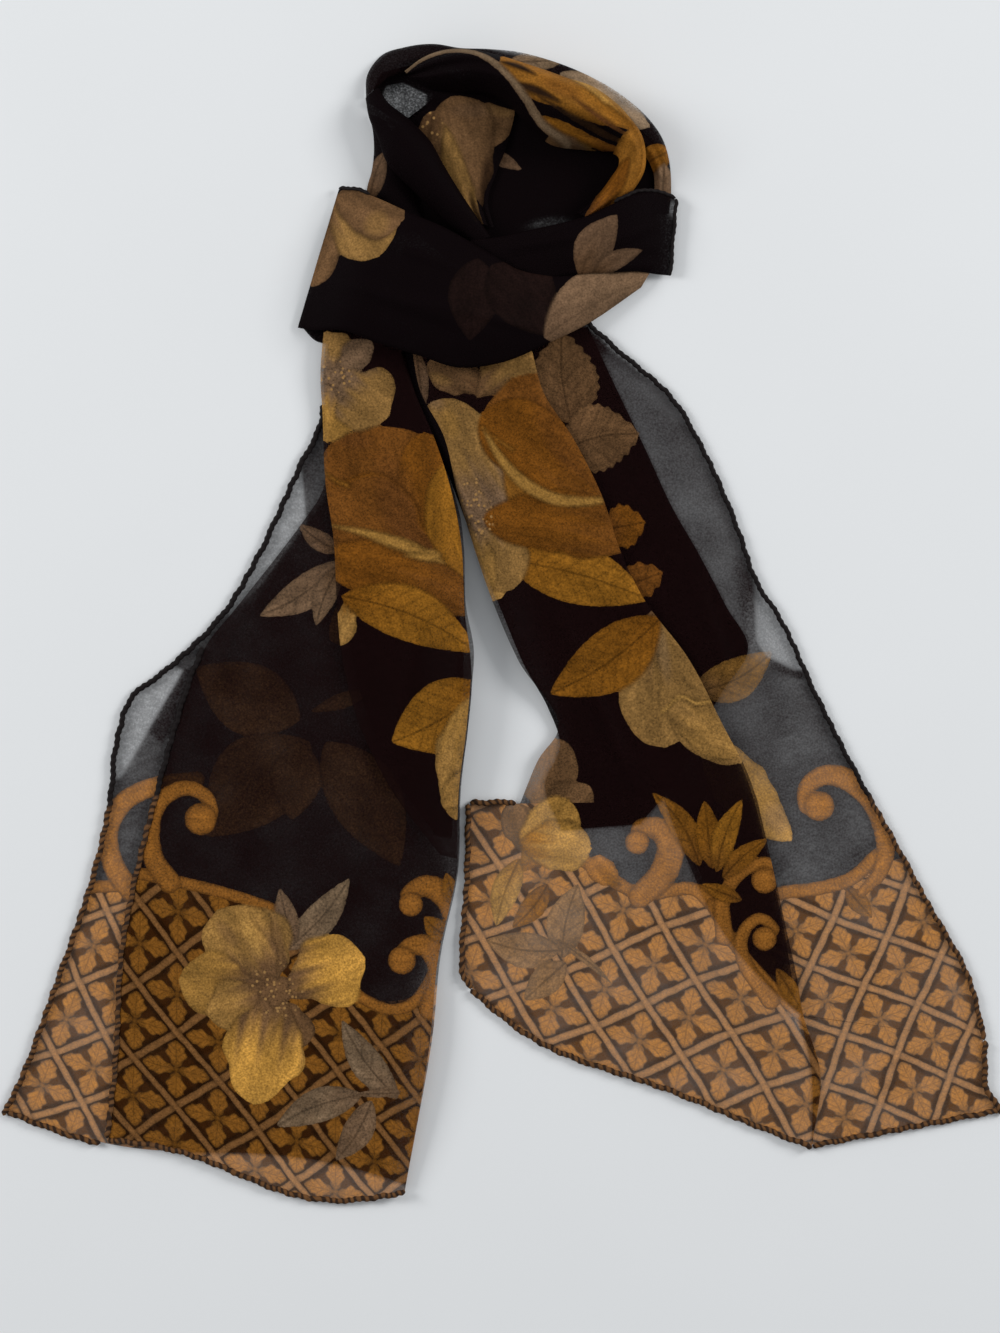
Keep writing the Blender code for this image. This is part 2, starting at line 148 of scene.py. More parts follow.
def to_plan(x: Array, y: Array) -> tuple[Array, Array]:
    """Turns squares of the plan into metres from the origin.

    Args:
        x: squares from the left.
        y: squares from the top.

    Returns:
        X and Y in metres.
    """
    return (x - PLAN_CENTRE[0]) * SQUARE, (PLAN_CENTRE[1] - y) * SQUARE


def smooth_step(value: Array) -> Array:
    """Three t squared less two t cubed, with t the value held between 0 and 1."""
    t = np.clip(value, 0.0, 1.0)
    return t * t * (3.0 - 2.0 * t)


def mixed(first: Array, second: Array, share: Array) -> Array:
    """Two colours run together: the first where the share is 0 and the second where it is 1."""
    share = share[:, None]
    return first * (1 - share) + second * share


def in_metres(x: Array, y: Array, z: Array) -> Array:
    """Points in metres, one a row, from squares across and down and heights in metres."""
    plan_x, plan_y = to_plan(x, y)
    return np.stack([plan_x.ravel(), plan_y.ravel(), z.ravel()], axis=1)


def run_along(line: Array) -> Array:
    """The length of a line up to each of its points, which are its rows."""
    return np.concatenate([[0.0], np.cumsum(np.linalg.norm(np.diff(line, axis=0), axis=1))])


def hermite(table: Array, at: Array, where: Array) -> Array:
    """A cubic Hermite curve through a table's rows, with the table's own gradient at each row.

    Args:
        table: the rows.
        at: where each row lies along the curve, rising.
        where: the places to read.

    Returns:
        One row for each place.
    """
    slopes = np.gradient(table, at, axis=0)
    index = np.clip(np.searchsorted(at, where, side="right") - 1, 0, len(at) - 2)
    width = (at[index + 1] - at[index])[:, None]
    t = (where - at[index])[:, None] / width
    return (
        (2 * t**3 - 3 * t**2 + 1) * table[index]
        + (t**3 - 2 * t**2 + t) * width * slopes[index]
        + (3 * t**2 - 2 * t**3) * table[index + 1]
        + (t**3 - t**2) * width * slopes[index + 1]
    )


def smooth_path(points: tuple[Point, ...], count: int) -> Array:
    """A smooth curve through a few points, which it passes at even steps of its share.

    Args:
        points: the points.
        count: how many to read from the curve.

    Returns:
        The curve's points, one a row.
    """
    last = len(points) - 1
    return hermite(np.array(points, float), np.arange(last + 1.0), np.linspace(0, last, count))


def along_line(line: Array, x: Array, y: Array) -> tuple[Array, Array, Array]:
    """Where each point lies by a line: the foot of its shortest way to the line's nearest straight step.

    Args:
        line: the line's points, one a row.
        x: X of the points.
        y: Y of the points.

    Returns:
        How far the line is, on which side, as 1 or -1, and the length along the line.
    """
    start, edge = line[:-1], np.diff(line, axis=0)
    dx, dy = x.ravel()[:, None] - start[:, 0], y.ravel()[:, None] - start[:, 1]
    reach = np.clip((dx * edge[:, 0] + dy * edge[:, 1]) / np.maximum((edge**2).sum(1), TINY), 0, 1)
    away = np.hypot(dx - reach * edge[:, 0], dy - reach * edge[:, 1])
    nearest = away.argmin(axis=1)
    pick = (np.arange(x.size), nearest)
    side = np.sign(edge[nearest, 0] * dy[pick] - edge[nearest, 1] * dx[pick])
    return away[pick], side, run_along(line)[nearest] + reach[pick] * np.hypot(*edge[nearest].T)


def in_ellipse(x: Array, y: Array, centre: Point, reach: Point, turn: float) -> tuple[Array, Array]:
    """The place of each point in a turned ellipse, counted in the ellipse's own reach.

    Args:
        x: squares from the left.
        y: squares from the top.
        centre: the ellipse's middle.
        reach: how far it reaches along and across.
        turn: how far it is turned, in degrees.

    Returns:
        The places along and across.
    """
    angle = np.radians(turn)
    dx, dy = x - centre[0], y - centre[1]
    along = (dx * np.cos(angle) + dy * np.sin(angle)) / reach[0]
    return along, (dy * np.cos(angle) - dx * np.sin(angle)) / reach[1]


class Laid(NamedTuple):
    """A section of a layer that lies on what is under it: its two ends, in squares."""

    left_x: float
    left_y: float
    right_x: float
    right_y: float


class Raised(NamedTuple):
    """A section of a layer that stands clear: its two ends in squares, their heights and its crown in mm."""

    left_x: float
    left_y: float
    left_z: float
    right_x: float
    right_y: float
    right_z: float
    rise: float


class Waves(NamedTuple):
    """How an end leaves its straight chord, in squares: one, two and three half waves across it."""

    bow: float = 0.0
    sway: float = 0.0
    ripple: float = 0.0


def right_column(rows: tuple) -> int:
    """The column of a table of sections that holds the right end's x."""
    return 2 if isinstance(rows[0], Laid) else 3


def row_shares(rows: tuple) -> Array:
    """Where each section lies along its stretch, by the mean distance that its two ends have come.

    Args:
        rows: the sections.

    Returns:
        A share from 0 to 1 for each.
    """
    table = np.array(rows, float)
    right = right_column(rows)
    ends = np.stack([table[:, [0, 1]], table[:, [right, right + 1]]])
    steps = np.linalg.norm(np.diff(ends, axis=1), axis=2).mean(axis=0)
    return np.concatenate([[0.0], np.cumsum(steps)]) / steps.sum()


def through_rows(rows: tuple, shares: Array) -> Array:
    """Reads a table of sections on a smooth curve through its rows, at shares along the stretch."""
    return hermite(np.array(rows, float), row_shares(rows), shares)


def distance_outside(x: Array, y: Array, corners: Array) -> Array:
    """How far each point lies outside a closed outline, and zero inside it.

    A point is inside where a line from it to the right crosses the outline an odd number of times.

    Args:
        x: X of the points.
        y: Y of the points.
        corners: the outline's corners, one a row.

    Returns:
        The distances, in the points' own units.
    """
    closed = np.concatenate([corners, corners[:1]])
    a, b = closed[:-1], closed[1:]
    edge = b - a
    px, py = x.ravel()[:, None], y.ravel()[:, None]
    crosses = (a[:, 1] > py) != (b[:, 1] > py)
    drop = np.where(np.abs(edge[:, 1]) < TINY, TINY, edge[:, 1])
    to_the_left = px < edge[:, 0] * (py - a[:, 1]) / drop + a[:, 0]
    inside = (crosses & to_the_left).sum(axis=1) % 2 == 1
    return np.where(inside, 0.0, along_line(closed, x, y)[0]).reshape(x.shape)


@dataclass(frozen=True)
class Crease:
    """A soft ridge, or a trough where its height is below zero, between two points of the plan."""

    start: Point
    finish: Point
    half_width: float
    height: float

    def lift(self, x: Array, y: Array) -> Array:
        """The ridge's height: a bell across it times a half sine along it.

        Args:
            x: squares from the left.
            y: squares from the top.

        Returns:
            Heights in metres.
        """
        run = np.subtract(self.finish, self.start)
        length = np.hypot(*run)
        along = ((x - self.start[0]) * run[0] + (y - self.start[1]) * run[1]) / length**2
        across = ((x - self.start[0]) * run[1] - (y - self.start[1]) * run[0]) / length
        bell = np.exp(-((across / self.half_width) ** 2))
        return self.height * MM * bell * np.sin(np.pi * np.clip(along, 0, 1)) ** 0.8


@dataclass(frozen=True)
class Thin:
    """A patch that is drawn thin and lets more through: an ellipse of the plan with a soft edge."""

    centre: Point
    reach: Point
    turn: float
    amount: float
    edge: float = 0.35

    def share(self, x: Array, y: Array) -> Array:
        """How much thinner each point is: the amount, falling off over the ellipse's edge."""
        along, across = in_ellipse(x, y, self.centre, self.reach, self.turn)
        return self.amount * smooth_step((1 - np.hypot(along, across)) / self.edge)


@dataclass(frozen=True)
class Window:
    """A patch between folds where the cloth lets more through, or less: a polygon with a short soft edge. On
    the tails one above zero is painted light, for the table lit under a lifted edge, and one below zero is
    painted shade.
    """

    corners: tuple[Point, ...]
    amount: float
    blur: float = 3.0

    def share(self, x: Array, y: Array) -> Array:
        """How much thinner each point is: the amount inside the outline, falling off over the blur."""
        away = distance_outside(x, y, np.array(self.corners, float))
        return self.amount * (1 - smooth_step(away / self.blur))


# ---------------------------------------------------------------- the print


class Canvas:
    """What is printed on a stretch, for each of its points."""

    def __init__(self, x: Array, y: Array) -> None:
        """Starts with nothing printed.

        Args:
            x: squares from the left, for each point.
            y: squares from the top.
        """
        self.x, self.y = x.ravel(), y.ravel()
        count = self.x.size
        self.cover = np.full(count, -FAR)
        self.rim = np.full(count, FAR)
        self.tone = np.zeros((count, 3))
        self.grain = np.zeros((count, 3))
        self.hatch = np.zeros(count)
        self.speck = np.zeros(count)

    def lay(
        self, inside: Array, tone: Array, along: Array, across: Array, veins: float = 0.0, hatch: float = 0.0
    ) -> None:
        """Lays one motif over what is there. A margin round it takes its colour where nothing is nearer.

        Args:
            inside: how far inside the motif each point is, in mm, and below zero outside it.
            tone: the motif's colour at each point.
            along: squares along the motif.
            across: squares across it.
            veins: how strongly leaf veins show, 0 to 1.
            hatch: how strongly engraved lines show, 0 to 1.
        """
        bare = self.cover < 0
        over = smooth_step(0.5 + inside / SOFT_EDGE)
        share = np.where(bare, inside > np.maximum(self.cover, -MARGIN), over)
        self.tone += (tone - self.tone) * share[:, None]
        self.hatch += (hatch - self.hatch) * share
        chosen = share > 0.5
        local = [along * SQUARE_MM, across * SQUARE_MM, np.full_like(along, veins)]
        self.grain[chosen] = np.stack(local, axis=1)[chosen]
        self.rim = np.where(inside > 0, inside, np.minimum(self.rim, np.abs(inside)))
        self.cover = np.maximum(self.cover, inside)


def blade(
    canvas: Canvas, base: Point, tip: Point, half_width: float, bend: float, widest: float, roundness: float
) -> tuple[Array, Array, Array, Array]:
    """A blade between two points: its half width is a sine of the share along it raised to two powers.

    Args:
        canvas: whose points are asked for.
        base: where the blade starts, in squares.
        tip: where it ends.
        half_width: half its greatest width.
        bend: how far its middle line bows to its left, in squares.
        widest: the share of its length at which it is widest.
        roundness: 1 for pointed ends, less for round ones.

    Returns:
        Millimetres inside it, the share along it, and squares along and across its middle line.
    """
    run = np.subtract(tip, base)
    length = np.hypot(*run)
    dx, dy = canvas.x - base[0], canvas.y - base[1]
    share = (dx * run[0] + dy * run[1]) / length**2
    held = np.clip(share, 0, 1)
    across = (dx * run[1] - dy * run[0]) / length - bend * np.sin(np.pi * held)
    power = np.log(0.5) / np.log(widest)
    width = half_width * np.sin(np.pi * held**power) ** roundness
    beyond = np.abs(share - held) * length
    slope = 1 / np.hypot(1, 1.3 * half_width / length * np.abs(np.cos(np.pi * held**power)) * 2)
    inside = ((width - np.abs(across)) * slope - beyond) * SQUARE_MM
    return inside, held, held * length, across


@dataclass(frozen=True)
class Leaf:
    """A veined leaf: deep at its base and lighter towards its tip."""

    base: Point
    tip: Point
    half_width: float
    ink: Ink
    bend: float = 0.0
    shade: Ink = Ink.LEAF_DEEP
    teeth: int = 0
    veins: float = 1.0

    def paint(self, canvas: Canvas) -> None:
        """Lays the leaf: a blade whose edge is cut by a sine for each tooth.

        Args:
            canvas: the stretch's print so far.
        """
        widest, roundness, tooth_depth = 0.45, 0.85, 0.6
        inside, share, along, across = blade(
            canvas, self.base, self.tip, self.half_width, self.bend, widest, roundness
        )
        inside = inside + tooth_depth * np.sin(2 * np.pi * self.teeth * share) * (share > 0.05)
        broad = np.abs(across) / self.half_width
        lightness = 0.2 + 0.8 * smooth_step(1.3 * share + 0.35 * broad)
        tone = mixed(self.shade.rgb, self.ink.rgb, lightness)
        side = 1.0 + 0.12 * np.tanh(across / 6.0) + 0.10 * np.sin(share * 9.0 - 3.0 * broad)
        canvas.lay(inside, tone * side[:, None], along, across, veins=self.veins)


@dataclass(frozen=True)
class Petal:
    """A broad petal: its heart colour at its base, its body beyond, and a light edge."""

    base: Point
    tip: Point
    half_width: float
    body: Ink
    heart: Ink
    edge: Ink | None = None
    bend: float = 0.0
    frill: int = 3
    widest: float = 0.66
    heart_share: float = 0.6
    roundness: float = 0.56

    def paint(self, canvas: Canvas) -> None:
        """Lays the petal: a round blade, its edge waved by sines of the bearing from its middle.

        Args:
            canvas: the stretch's print so far.
        """
        inside, share, along, across = blade(
            canvas, self.base, self.tip, self.half_width, self.bend, self.widest, self.roundness
        )
        length = np.hypot(*np.subtract(self.tip, self.base))
        turn = np.arctan2(across, along - 0.5 * length)
        frill = np.sin(self.frill * turn + self.half_width) + 0.5 * np.sin(7 * turn + self.base[0])
        inside = inside + 0.026 * self.half_width * frill
        side = across / self.half_width
        ragged = 0.16 * np.sin(11 * side + self.tip[0]) + 0.10 * np.sin(23 * side + self.tip[1])
        heart = smooth_step(1.25 * (1 - share / self.heart_share) + ragged)
        tone = mixed(self.body.rgb, self.heart.rgb, heart)
        fold = 1.0 + 0.17 * np.sin(5.0 * side + 2.0 * share + self.tip[0]) - 0.10 * side**2
        tone = tone * fold[:, None]
        if self.edge is not None:
            tone = mixed(tone, self.edge.rgb, smooth_step(1.6 - inside / 1.5))
        canvas.lay(inside, tone, along, across)


class PetalCut(NamedTuple):
    """One petal of a bloom: its bearing in degrees, clockwise from the right, its size, colour and shape."""

    bearing: float
    length: float
    half_width: float
    body: Ink | None = None
    widest: float = 0.62
    roundness: float = 0.66


@dataclass(frozen=True)
class Bloom:
    """An open flower: petals set round a heart, later ones over earlier."""

    centre: Point
    petals: tuple[PetalCut, ...]
    body: Ink
    heart: Ink
    heart_radius: float
    edge: Ink | None = None
    heart_share: float = 0.92

    def paint(self, canvas: Canvas) -> None:
        """Lays each petal, then the heart, whose edge is waved five times round.

        Args:
            canvas: the stretch's print so far.
        """
        for cut in self.petals:
            angle = np.radians(cut.bearing)
            way = np.array([np.cos(angle), np.sin(angle)])
            tip = tuple(np.add(self.centre, way * cut.length))
            base = tuple(np.add(self.centre, way * self.heart_radius * 0.2))
            Petal(
                base, tip, cut.half_width, cut.body or self.body, self.heart, self.edge,
                frill=4, widest=cut.widest, heart_share=self.heart_share, roundness=cut.roundness,
            ).paint(canvas)
        dx, dy = canvas.x - self.centre[0], canvas.y - self.centre[1]
        radius = np.hypot(dx, dy)
        wave = 1 + 0.16 * np.sin(5 * np.arctan2(dy, dx) + self.centre[0])
        inside = (self.heart_radius * wave - radius) * SQUARE_MM
        tone = np.broadcast_to(self.heart.rgb, (dx.size, 3))
        canvas.lay(inside, tone, dx, dy)
        halo = (2.2 * self.heart_radius,) * 2
        Wash(self.centre, halo, 0.0, self.heart, amount=0.75, specks=1.0).paint(canvas)


@dataclass(frozen=True)
class Wash:
    """A soft patch of another colour over the motifs under it: an ellipse that fades to its edge."""

    centre: Point
    reach: Point
    turn: float
    ink: Ink
    amount: float = 0.7
    specks: float = 0.0

    def paint(self, canvas: Canvas) -> None:
        """Mixes the colour in by one less the squared distance from the centre, and marks the specks.

        Args:
            canvas: the stretch's print so far.
        """
        along, across = in_ellipse(canvas.x, canvas.y, self.centre, self.reach, self.turn)
        near = smooth_step(1.0 - along**2 - across**2)
        canvas.tone += (self.ink.rgb - canvas.tone) * (self.amount * near)[:, None]
        canvas.speck = np.maximum(canvas.speck, self.specks * smooth_step(3.0 * near))


@dataclass(frozen=True)
class Scroll:
    """A moulded stem that may curl into a round eye."""

    path: tuple[Point, ...]
    start_width: float
    end_width: float
    eye: float = 0.0
    ink: Ink = Ink.SCROLL
    shade: Ink = Ink.SCROLL_DEEP
    hatch: float = 1.0
    swell: float = 0.0

    def paint(self, canvas: Canvas) -> None:
        """Lays a band about the path, its width running from start to end with a swell, and its eye.

        Both are round on top: the square root of one less the squared share of the way to the edge.

        Args:
            canvas: the stretch's print so far.
        """
        line = smooth_path(self.path, 14 * len(self.path))
        distance, side, along = along_line(line, canvas.x, canvas.y)
        share = along / run_along(line)[-1]
        taper = (self.end_width - self.start_width) * share
        half = (self.start_width + taper + self.swell * np.sin(np.pi * share)) / 2
        top = np.sqrt(np.clip(1 - (distance / half) ** 2, 0, 1))
        tone = mixed(self.shade.rgb, self.ink.rgb, top)
        canvas.lay((half - distance) * SQUARE_MM, tone, along, side * distance, hatch=self.hatch)
        if self.eye:
            dy = canvas.y - line[-1, 1]
            radius = np.hypot(canvas.x - line[-1, 0], dy)
            dome = np.sqrt(np.clip(1 - (radius / self.eye) ** 2, 0, 1))
            tone = mixed(self.shade.rgb, self.ink.rgb * 1.1, dome)
            canvas.lay((self.eye - radius) * SQUARE_MM, tone, radius, dy)


@dataclass(frozen=True)
class Trellis:
    """The border's trellis: where two of its bars cross, the steps between crossings, and its inner line."""

    crossing: Point
    first_step: Point
    second_step: Point
    inner_line: tuple[Point, ...]
    drift: float = 0.035

    def cells(self, x: Array, y: Array) -> Array:
        """The place of each point in the trellis, counted in cells along its two sets of bars.

        Args:
            x: squares from the left.
            y: squares from the top.

        Returns:
            Three columns, the last of them zero.
        """
        steps = np.array([self.first_step, self.second_step], float).T
        offset = np.stack([x.ravel() - self.crossing[0], y.ravel() - self.crossing[1]])
        cells = np.linalg.solve(steps, offset).T
        drift = np.stack([np.sin(cells[:, 1] * 1.7 + 0.6), np.sin(cells[:, 0] * 1.9)], axis=1)
        return np.column_stack([cells + self.drift * drift, np.zeros(len(cells))])

    def inside(self, x: Array, y: Array) -> Array:
        """How far each point lies below the inner line, which is above the trellis in the plan.

        Args:
            x: squares from the left.
            y: squares from the top.

        Returns:
            Millimetres, negative above the line.
        """
        distance, side, _ = along_line(smooth_path(self.inner_line, 80), x, y)
        return side * distance * SQUARE_MM


# ---------------------------------------------------------------- the cloth


def grid_faces(across: int, along: int) -> Array:
    """The quads of a grid of points.

    Args:
        across: how many points a row has.
        along: how many rows there are.

    Returns:
        Four point numbers a row.
    """
    index = np.arange(across * along).reshape(along, across)
    quads = np.stack([index[:-1, :-1], index[1:, :-1], index[1:, 1:], index[:-1, 1:]], axis=-1)
    return quads.reshape(-1, 4)


def faces_up(points: Array, faces: Array) -> Array:
    """Turns a sheet's faces so that most of their area looks up, by the cross product of their diagonals.

    Args:
        points: the vertices, one a row.
        faces: the quads.

    Returns:
        The quads, as they were or all reversed.
    """
    corner = points[faces]
    normal = np.cross(corner[:, 2] - corner[:, 0], corner[:, 3] - corner[:, 1])
    return faces if normal[:, 2].sum() > 0 else faces[:, ::-1]


def mesh_object(
    name: str, points: Array, faces: Array, finish: bpy.types.Material, caps: tuple[Array, ...] = ()
) -> bpy.types.Object:
    """Makes a smooth mesh object at the origin.

    Args:
        name: its name.
        points: its vertices, one a row, in metres.
        faces: its faces as rows of vertex numbers.
        finish: its material.
        caps: more faces, of any number of corners each.

    Returns:
        The object, linked to the scene.
    """
    mesh = bpy.data.meshes.new(name)
    mesh.from_pydata(points.tolist(), [], faces.tolist() + [cap.tolist() for cap in caps])
    mesh.shade_smooth()
    mesh.materials.append(finish)
    made = bpy.data.objects.new(name, mesh)
    bpy.context.scene.collection.objects.link(made)
    return made


VALUE_KEYS = {"FLOAT": "value", "FLOAT_VECTOR": "vector", "FLOAT_COLOR": "color"}


def set_values(mesh: bpy.types.Mesh, kind: str, **values: Array) -> None:
    """Puts attributes of one kind on a mesh, each with a value a vertex.

    Args:
        mesh: the mesh.
        kind: the attributes' kind.
        values: each attribute's values, by its name.
    """
    for name, array in values.items():
        data = mesh.attributes.new(name, kind, "POINT").data
        data.foreach_set(VALUE_KEYS[kind], array.astype(np.float32).ravel())


@dataclass
class Stretch:
    """One stretch of the cloth as a thin sheet: its sections, its end, its folds and its print."""

    name: str
    node: str
    rows: tuple
    end: Waves = Waves()
    arched: bool = False
    held: Held = Held.FOLDED
    turned: tuple[Edge, ...] = ()
    creases: tuple[Crease, ...] = ()
    pleats: tuple[Point, ...] = ()
    motifs: tuple = ()
    trellis: Trellis | None = None
    # sheer patches, among them the tails' windows of painted light and painted shade
    thin: tuple[Thin | Window, ...] = ()
    plies: float = 1.0
    joins: tuple[str, ...] = ()
    below: list["Stretch"] = field(default_factory=list)
    relief: tuple[Crease, ...] = ()

    def plan_grid(self, u: Array, v: Array) -> tuple[Array, Array, Array]:
        """The plan: each section's ends joined by a straight line, and the last end waved by sines.

        Args:
            u: shares across.
            v: shares along.

        Returns:
            X and Y in squares, and the sections read at v.
        """
        rows = through_rows(self.rows, v)
        right = right_column(self.rows)
        x = rows[:, [0]] * (1 - u) + rows[:, [right]] * u
        y = rows[:, [1]] * (1 - u) + rows[:, [right + 1]] * u
        last = np.array(self.rows[-1], float)
        chord = np.array([last[right] - last[0], last[right + 1] - last[1]])
        outward = np.array([-chord[1], chord[0]]) / np.linalg.norm(chord)
        out = sum(size * np.sin((half + 1) * np.pi * u) for half, size in enumerate(self.end))
        last_row = row_shares(self.rows)[-2]
        out = out * smooth_step((v - last_row) / (1 - last_row))[:, None]
        return x + outward[0] * out, y + outward[1] * out, rows

    def outline(self) -> Array:
        """The outline in plan, in squares: down the left edge, along the end and back up the right."""
        x, y, _ = self.plan_grid(np.linspace(0, 1, 20), np.linspace(0, 1, 40))
        return np.concatenate(
            [
                np.stack([x[:, 0], y[:, 0]], 1),
                np.stack([x[-1, 1:], y[-1, 1:]], 1),
                np.stack([x[-2::-1, -1], y[-2::-1, -1]], 1),
            ]
        )

    def shares(self) -> tuple[Array, Array]:
        """Works out the grid, which steps by the grid's step on the longest lines.

        Returns:
            Shares across and shares along.
        """
        rows = through_rows(self.rows, np.linspace(0, 1, 60))
        right = right_column(self.rows)
        width = np.hypot(rows[:, right] - rows[:, 0], rows[:, right + 1] - rows[:, 1]).max() * SQUARE
        sides = [np.hypot(*np.diff(rows[:, k : k + 2], axis=0).T).sum() * SQUARE for k in (0, right)]
        rise = 0 if right == 2 else rows[:, 6].max() * MM
        across = int((width + 2 * rise) / GRID_STEP) + 3
        along = int(max(sides) / GRID_STEP) + 3
        return np.linspace(0, 1, across), np.linspace(0, 1, along)

    def surface(self, u: Array, v: Array) -> tuple[Array, Array, Array, Array]:
        """The sheet: its plan, and a height that steps up over layers below or follows the crown.

        Args:
            u: shares across.
            v: shares along.

        Returns:
            Squares across and down, the height in metres, and 1 where no other layer lies beneath.
        """
        if right_column(self.rows) == 2:
            x, y, _ = self.plan_grid(u, v)
            z = np.full_like(x, WALL / 2)
            single = np.ones_like(x)
            for other in self.below:
                away = distance_outside(x, y, other.outline()) * SQUARE
                z += LAYER_STEP * (1 - smooth_step((away - FLAT_REACH) / (FALL_REACH - FLAT_REACH)))
                single = np.minimum(single, smooth_step(away / (1.5 * GRID_STEP)))
        else:
            turned = (1 - np.cos(np.pi * u)) / 2 if self.arched else u
            x, y, rows = self.plan_grid(turned, v)
            crown = np.sin(np.pi * u) if self.arched else 4 * u * (1 - u)
            z = rows[:, 2:3] * (1 - turned) + rows[:, 5:6] * turned + rows[:, 6:7] * crown
            z = np.maximum(z, 0) * MM + WALL / 2
            single = np.zeros_like(x)
        for number, (count, deep) in enumerate(self.pleats):
            swing = 2 * np.pi * (count * u[None, :] + (PLEAT_DRIFT + NEXT_DRIFT * number) * v[:, None])
            z = z + deep * MM * np.sin(swing + number) * np.sin(np.pi * u)[None, :]
        for crease in (*self.relief, *self.creases):
            z = z + crease.lift(x, y)
        z = z - self.turn_under(u, v, x, y)
        return x, y, np.maximum(z, LEAST_HEIGHT), single

    def turn_under(self, u: Array, v: Array, x: Array, y: Array) -> Array:
        """How far the folded edges curl down: a quarter circle over the last of the cloth before each.

        Args:
            u: shares across.
            v: shares along.
            x: squares across, for each point.
            y: squares down.

        Returns:
            The drop in metres.
        """
        width = np.hypot(x[:, -1] - x[:, 0], y[:, -1] - y[:, 0])[:, None] * SQUARE
        length = np.hypot(np.diff(x, axis=0), np.diff(y, axis=0)).sum(axis=0).mean() * SQUARE
        sides = {
            Edge.LEFT: u[None, :] * width,
            Edge.RIGHT: (1 - u)[None, :] * width,
            Edge.START: np.broadcast_to(v[:, None] * length, x.shape),
            Edge.END: np.broadcast_to((1 - v)[:, None] * length, x.shape),
        }
        drop = np.zeros_like(x)
        for edge in self.turned:
            near = np.clip(1 - sides[edge] / TURN_REACH, 0, 1)
            drop = np.maximum(drop, TURN_DEPTH * (1 - np.sqrt(1 - near**2)))
        return drop

    def printed(self, x: Array, y: Array, single: Array) -> Canvas:
        """The print on the sheet's points, lighter where the table shines through a single layer.

        Args:
            x: squares across, for each point.
            y: squares down.
            single: 1 where no other layer lies beneath.

        Returns:
            The print.
        """
        canvas = Canvas(x, y)
        for motif in self.motifs:
            motif.paint(canvas)
        canvas.tone = mixed(canvas.tone, canvas.tone * LIT_GAIN + LIT_TINT, single.ravel())
        return canvas

    def build(self, finish: bpy.types.Material) -> bpy.types.Object:
        """Args:
            finish: the printed cloth's material.

        Returns:
            The sheet.
        """
        u, v = self.shares()
        x, y, z, single = self.surface(u, v)
        points = in_metres(x, y, z)
        faces = faces_up(points, grid_faces(u.size, v.size))
        piece = mesh_object(self.name, points, faces, finish)
        self.dress(piece.data, x, y, single)
        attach(piece, "root")
        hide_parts(self.node)
        return piece

    def dress(self, mesh: bpy.types.Mesh, x: Array, y: Array, single: Array) -> None:
        """Puts the print on the mesh as attributes that the finish reads.

        Args:
            mesh: the sheet's mesh.
            x: squares across, for each point.
            y: squares down.
            single: 1 where no other layer lies beneath.
        """
        canvas = self.printed(x, y, single)
        count = canvas.x.size
        border, cells = np.full(count, -FAR), np.zeros((count, 3))
        if self.trellis is not None:
            border, cells = self.trellis.inside(x, y), self.trellis.cells(x, y)
        # thin holds the open weave and the sheer patches, and with them the tails' windows of painted light
        # and painted shade.
        thin = OPEN_WEAVE * single.ravel()
        for patch in self.thin:
            thin = thin + patch.share(canvas.x, canvas.y)
        set_values(
            mesh, "FLOAT", cover=canvas.cover, rim=canvas.rim, border=border, thin=thin, lit=single,
            plies=np.full(count, self.plies), hatch=canvas.hatch, speck=canvas.speck,
        )
        set_values(mesh, "FLOAT_VECTOR", cells=cells, grain=canvas.grain)
        set_values(mesh, "FLOAT_COLOR", tone=np.column_stack([canvas.tone, np.ones(count)]))

    @staticmethod
    def dress_plain(mesh: bpy.types.Mesh) -> None:
        """Marks a mesh as unprinted cloth."""
        none, one = np.full(len(mesh.vertices), -FAR), np.ones(len(mesh.vertices))
        set_values(mesh, "FLOAT", cover=none, border=none, plies=one)

    def declare(self, piece: bpy.types.Object, rests_on: list[str], hems: list[bpy.types.Object]) -> None:
        u, v = self.shares()
        declare_sheet(piece, v.size, u.size)


def declare_sheet(
    piece: bpy.types.Object, along: int, across: int
) -> None:
    """Works out the size a sheet was cut to, from its grid's longest lines and its area, and logs it.

    Args:
        piece: the sheet, a grid of along by across points.
        along: how many points it has down its length.
        across: how many it has across.
    """
    points = np.empty(along * across * 3, np.float32)
    piece.data.vertices.foreach_get("co", points)
    grid = points.reshape(along, across, 3)
    width = float(np.linalg.norm(np.diff(grid, axis=1), axis=2).sum(axis=1).max())
    length = float(np.linalg.norm(np.diff(grid, axis=0), axis=2).sum(axis=0).max())
    one, two = grid[1:, 1:] - grid[:-1, :-1], grid[1:, :-1] - grid[:-1, 1:]
    area = float(np.linalg.norm(np.cross(one, two), axis=2).sum() / 2)
    area = min(max(area, LEAST_CUT * width * length), width * length)
    LOG.info("%s: cut %.0f x %.0f mm, %.0f cm2", piece.name, width / MM, length / MM, area * 1e4)


# ---------------------------------------------------------------- the finishes


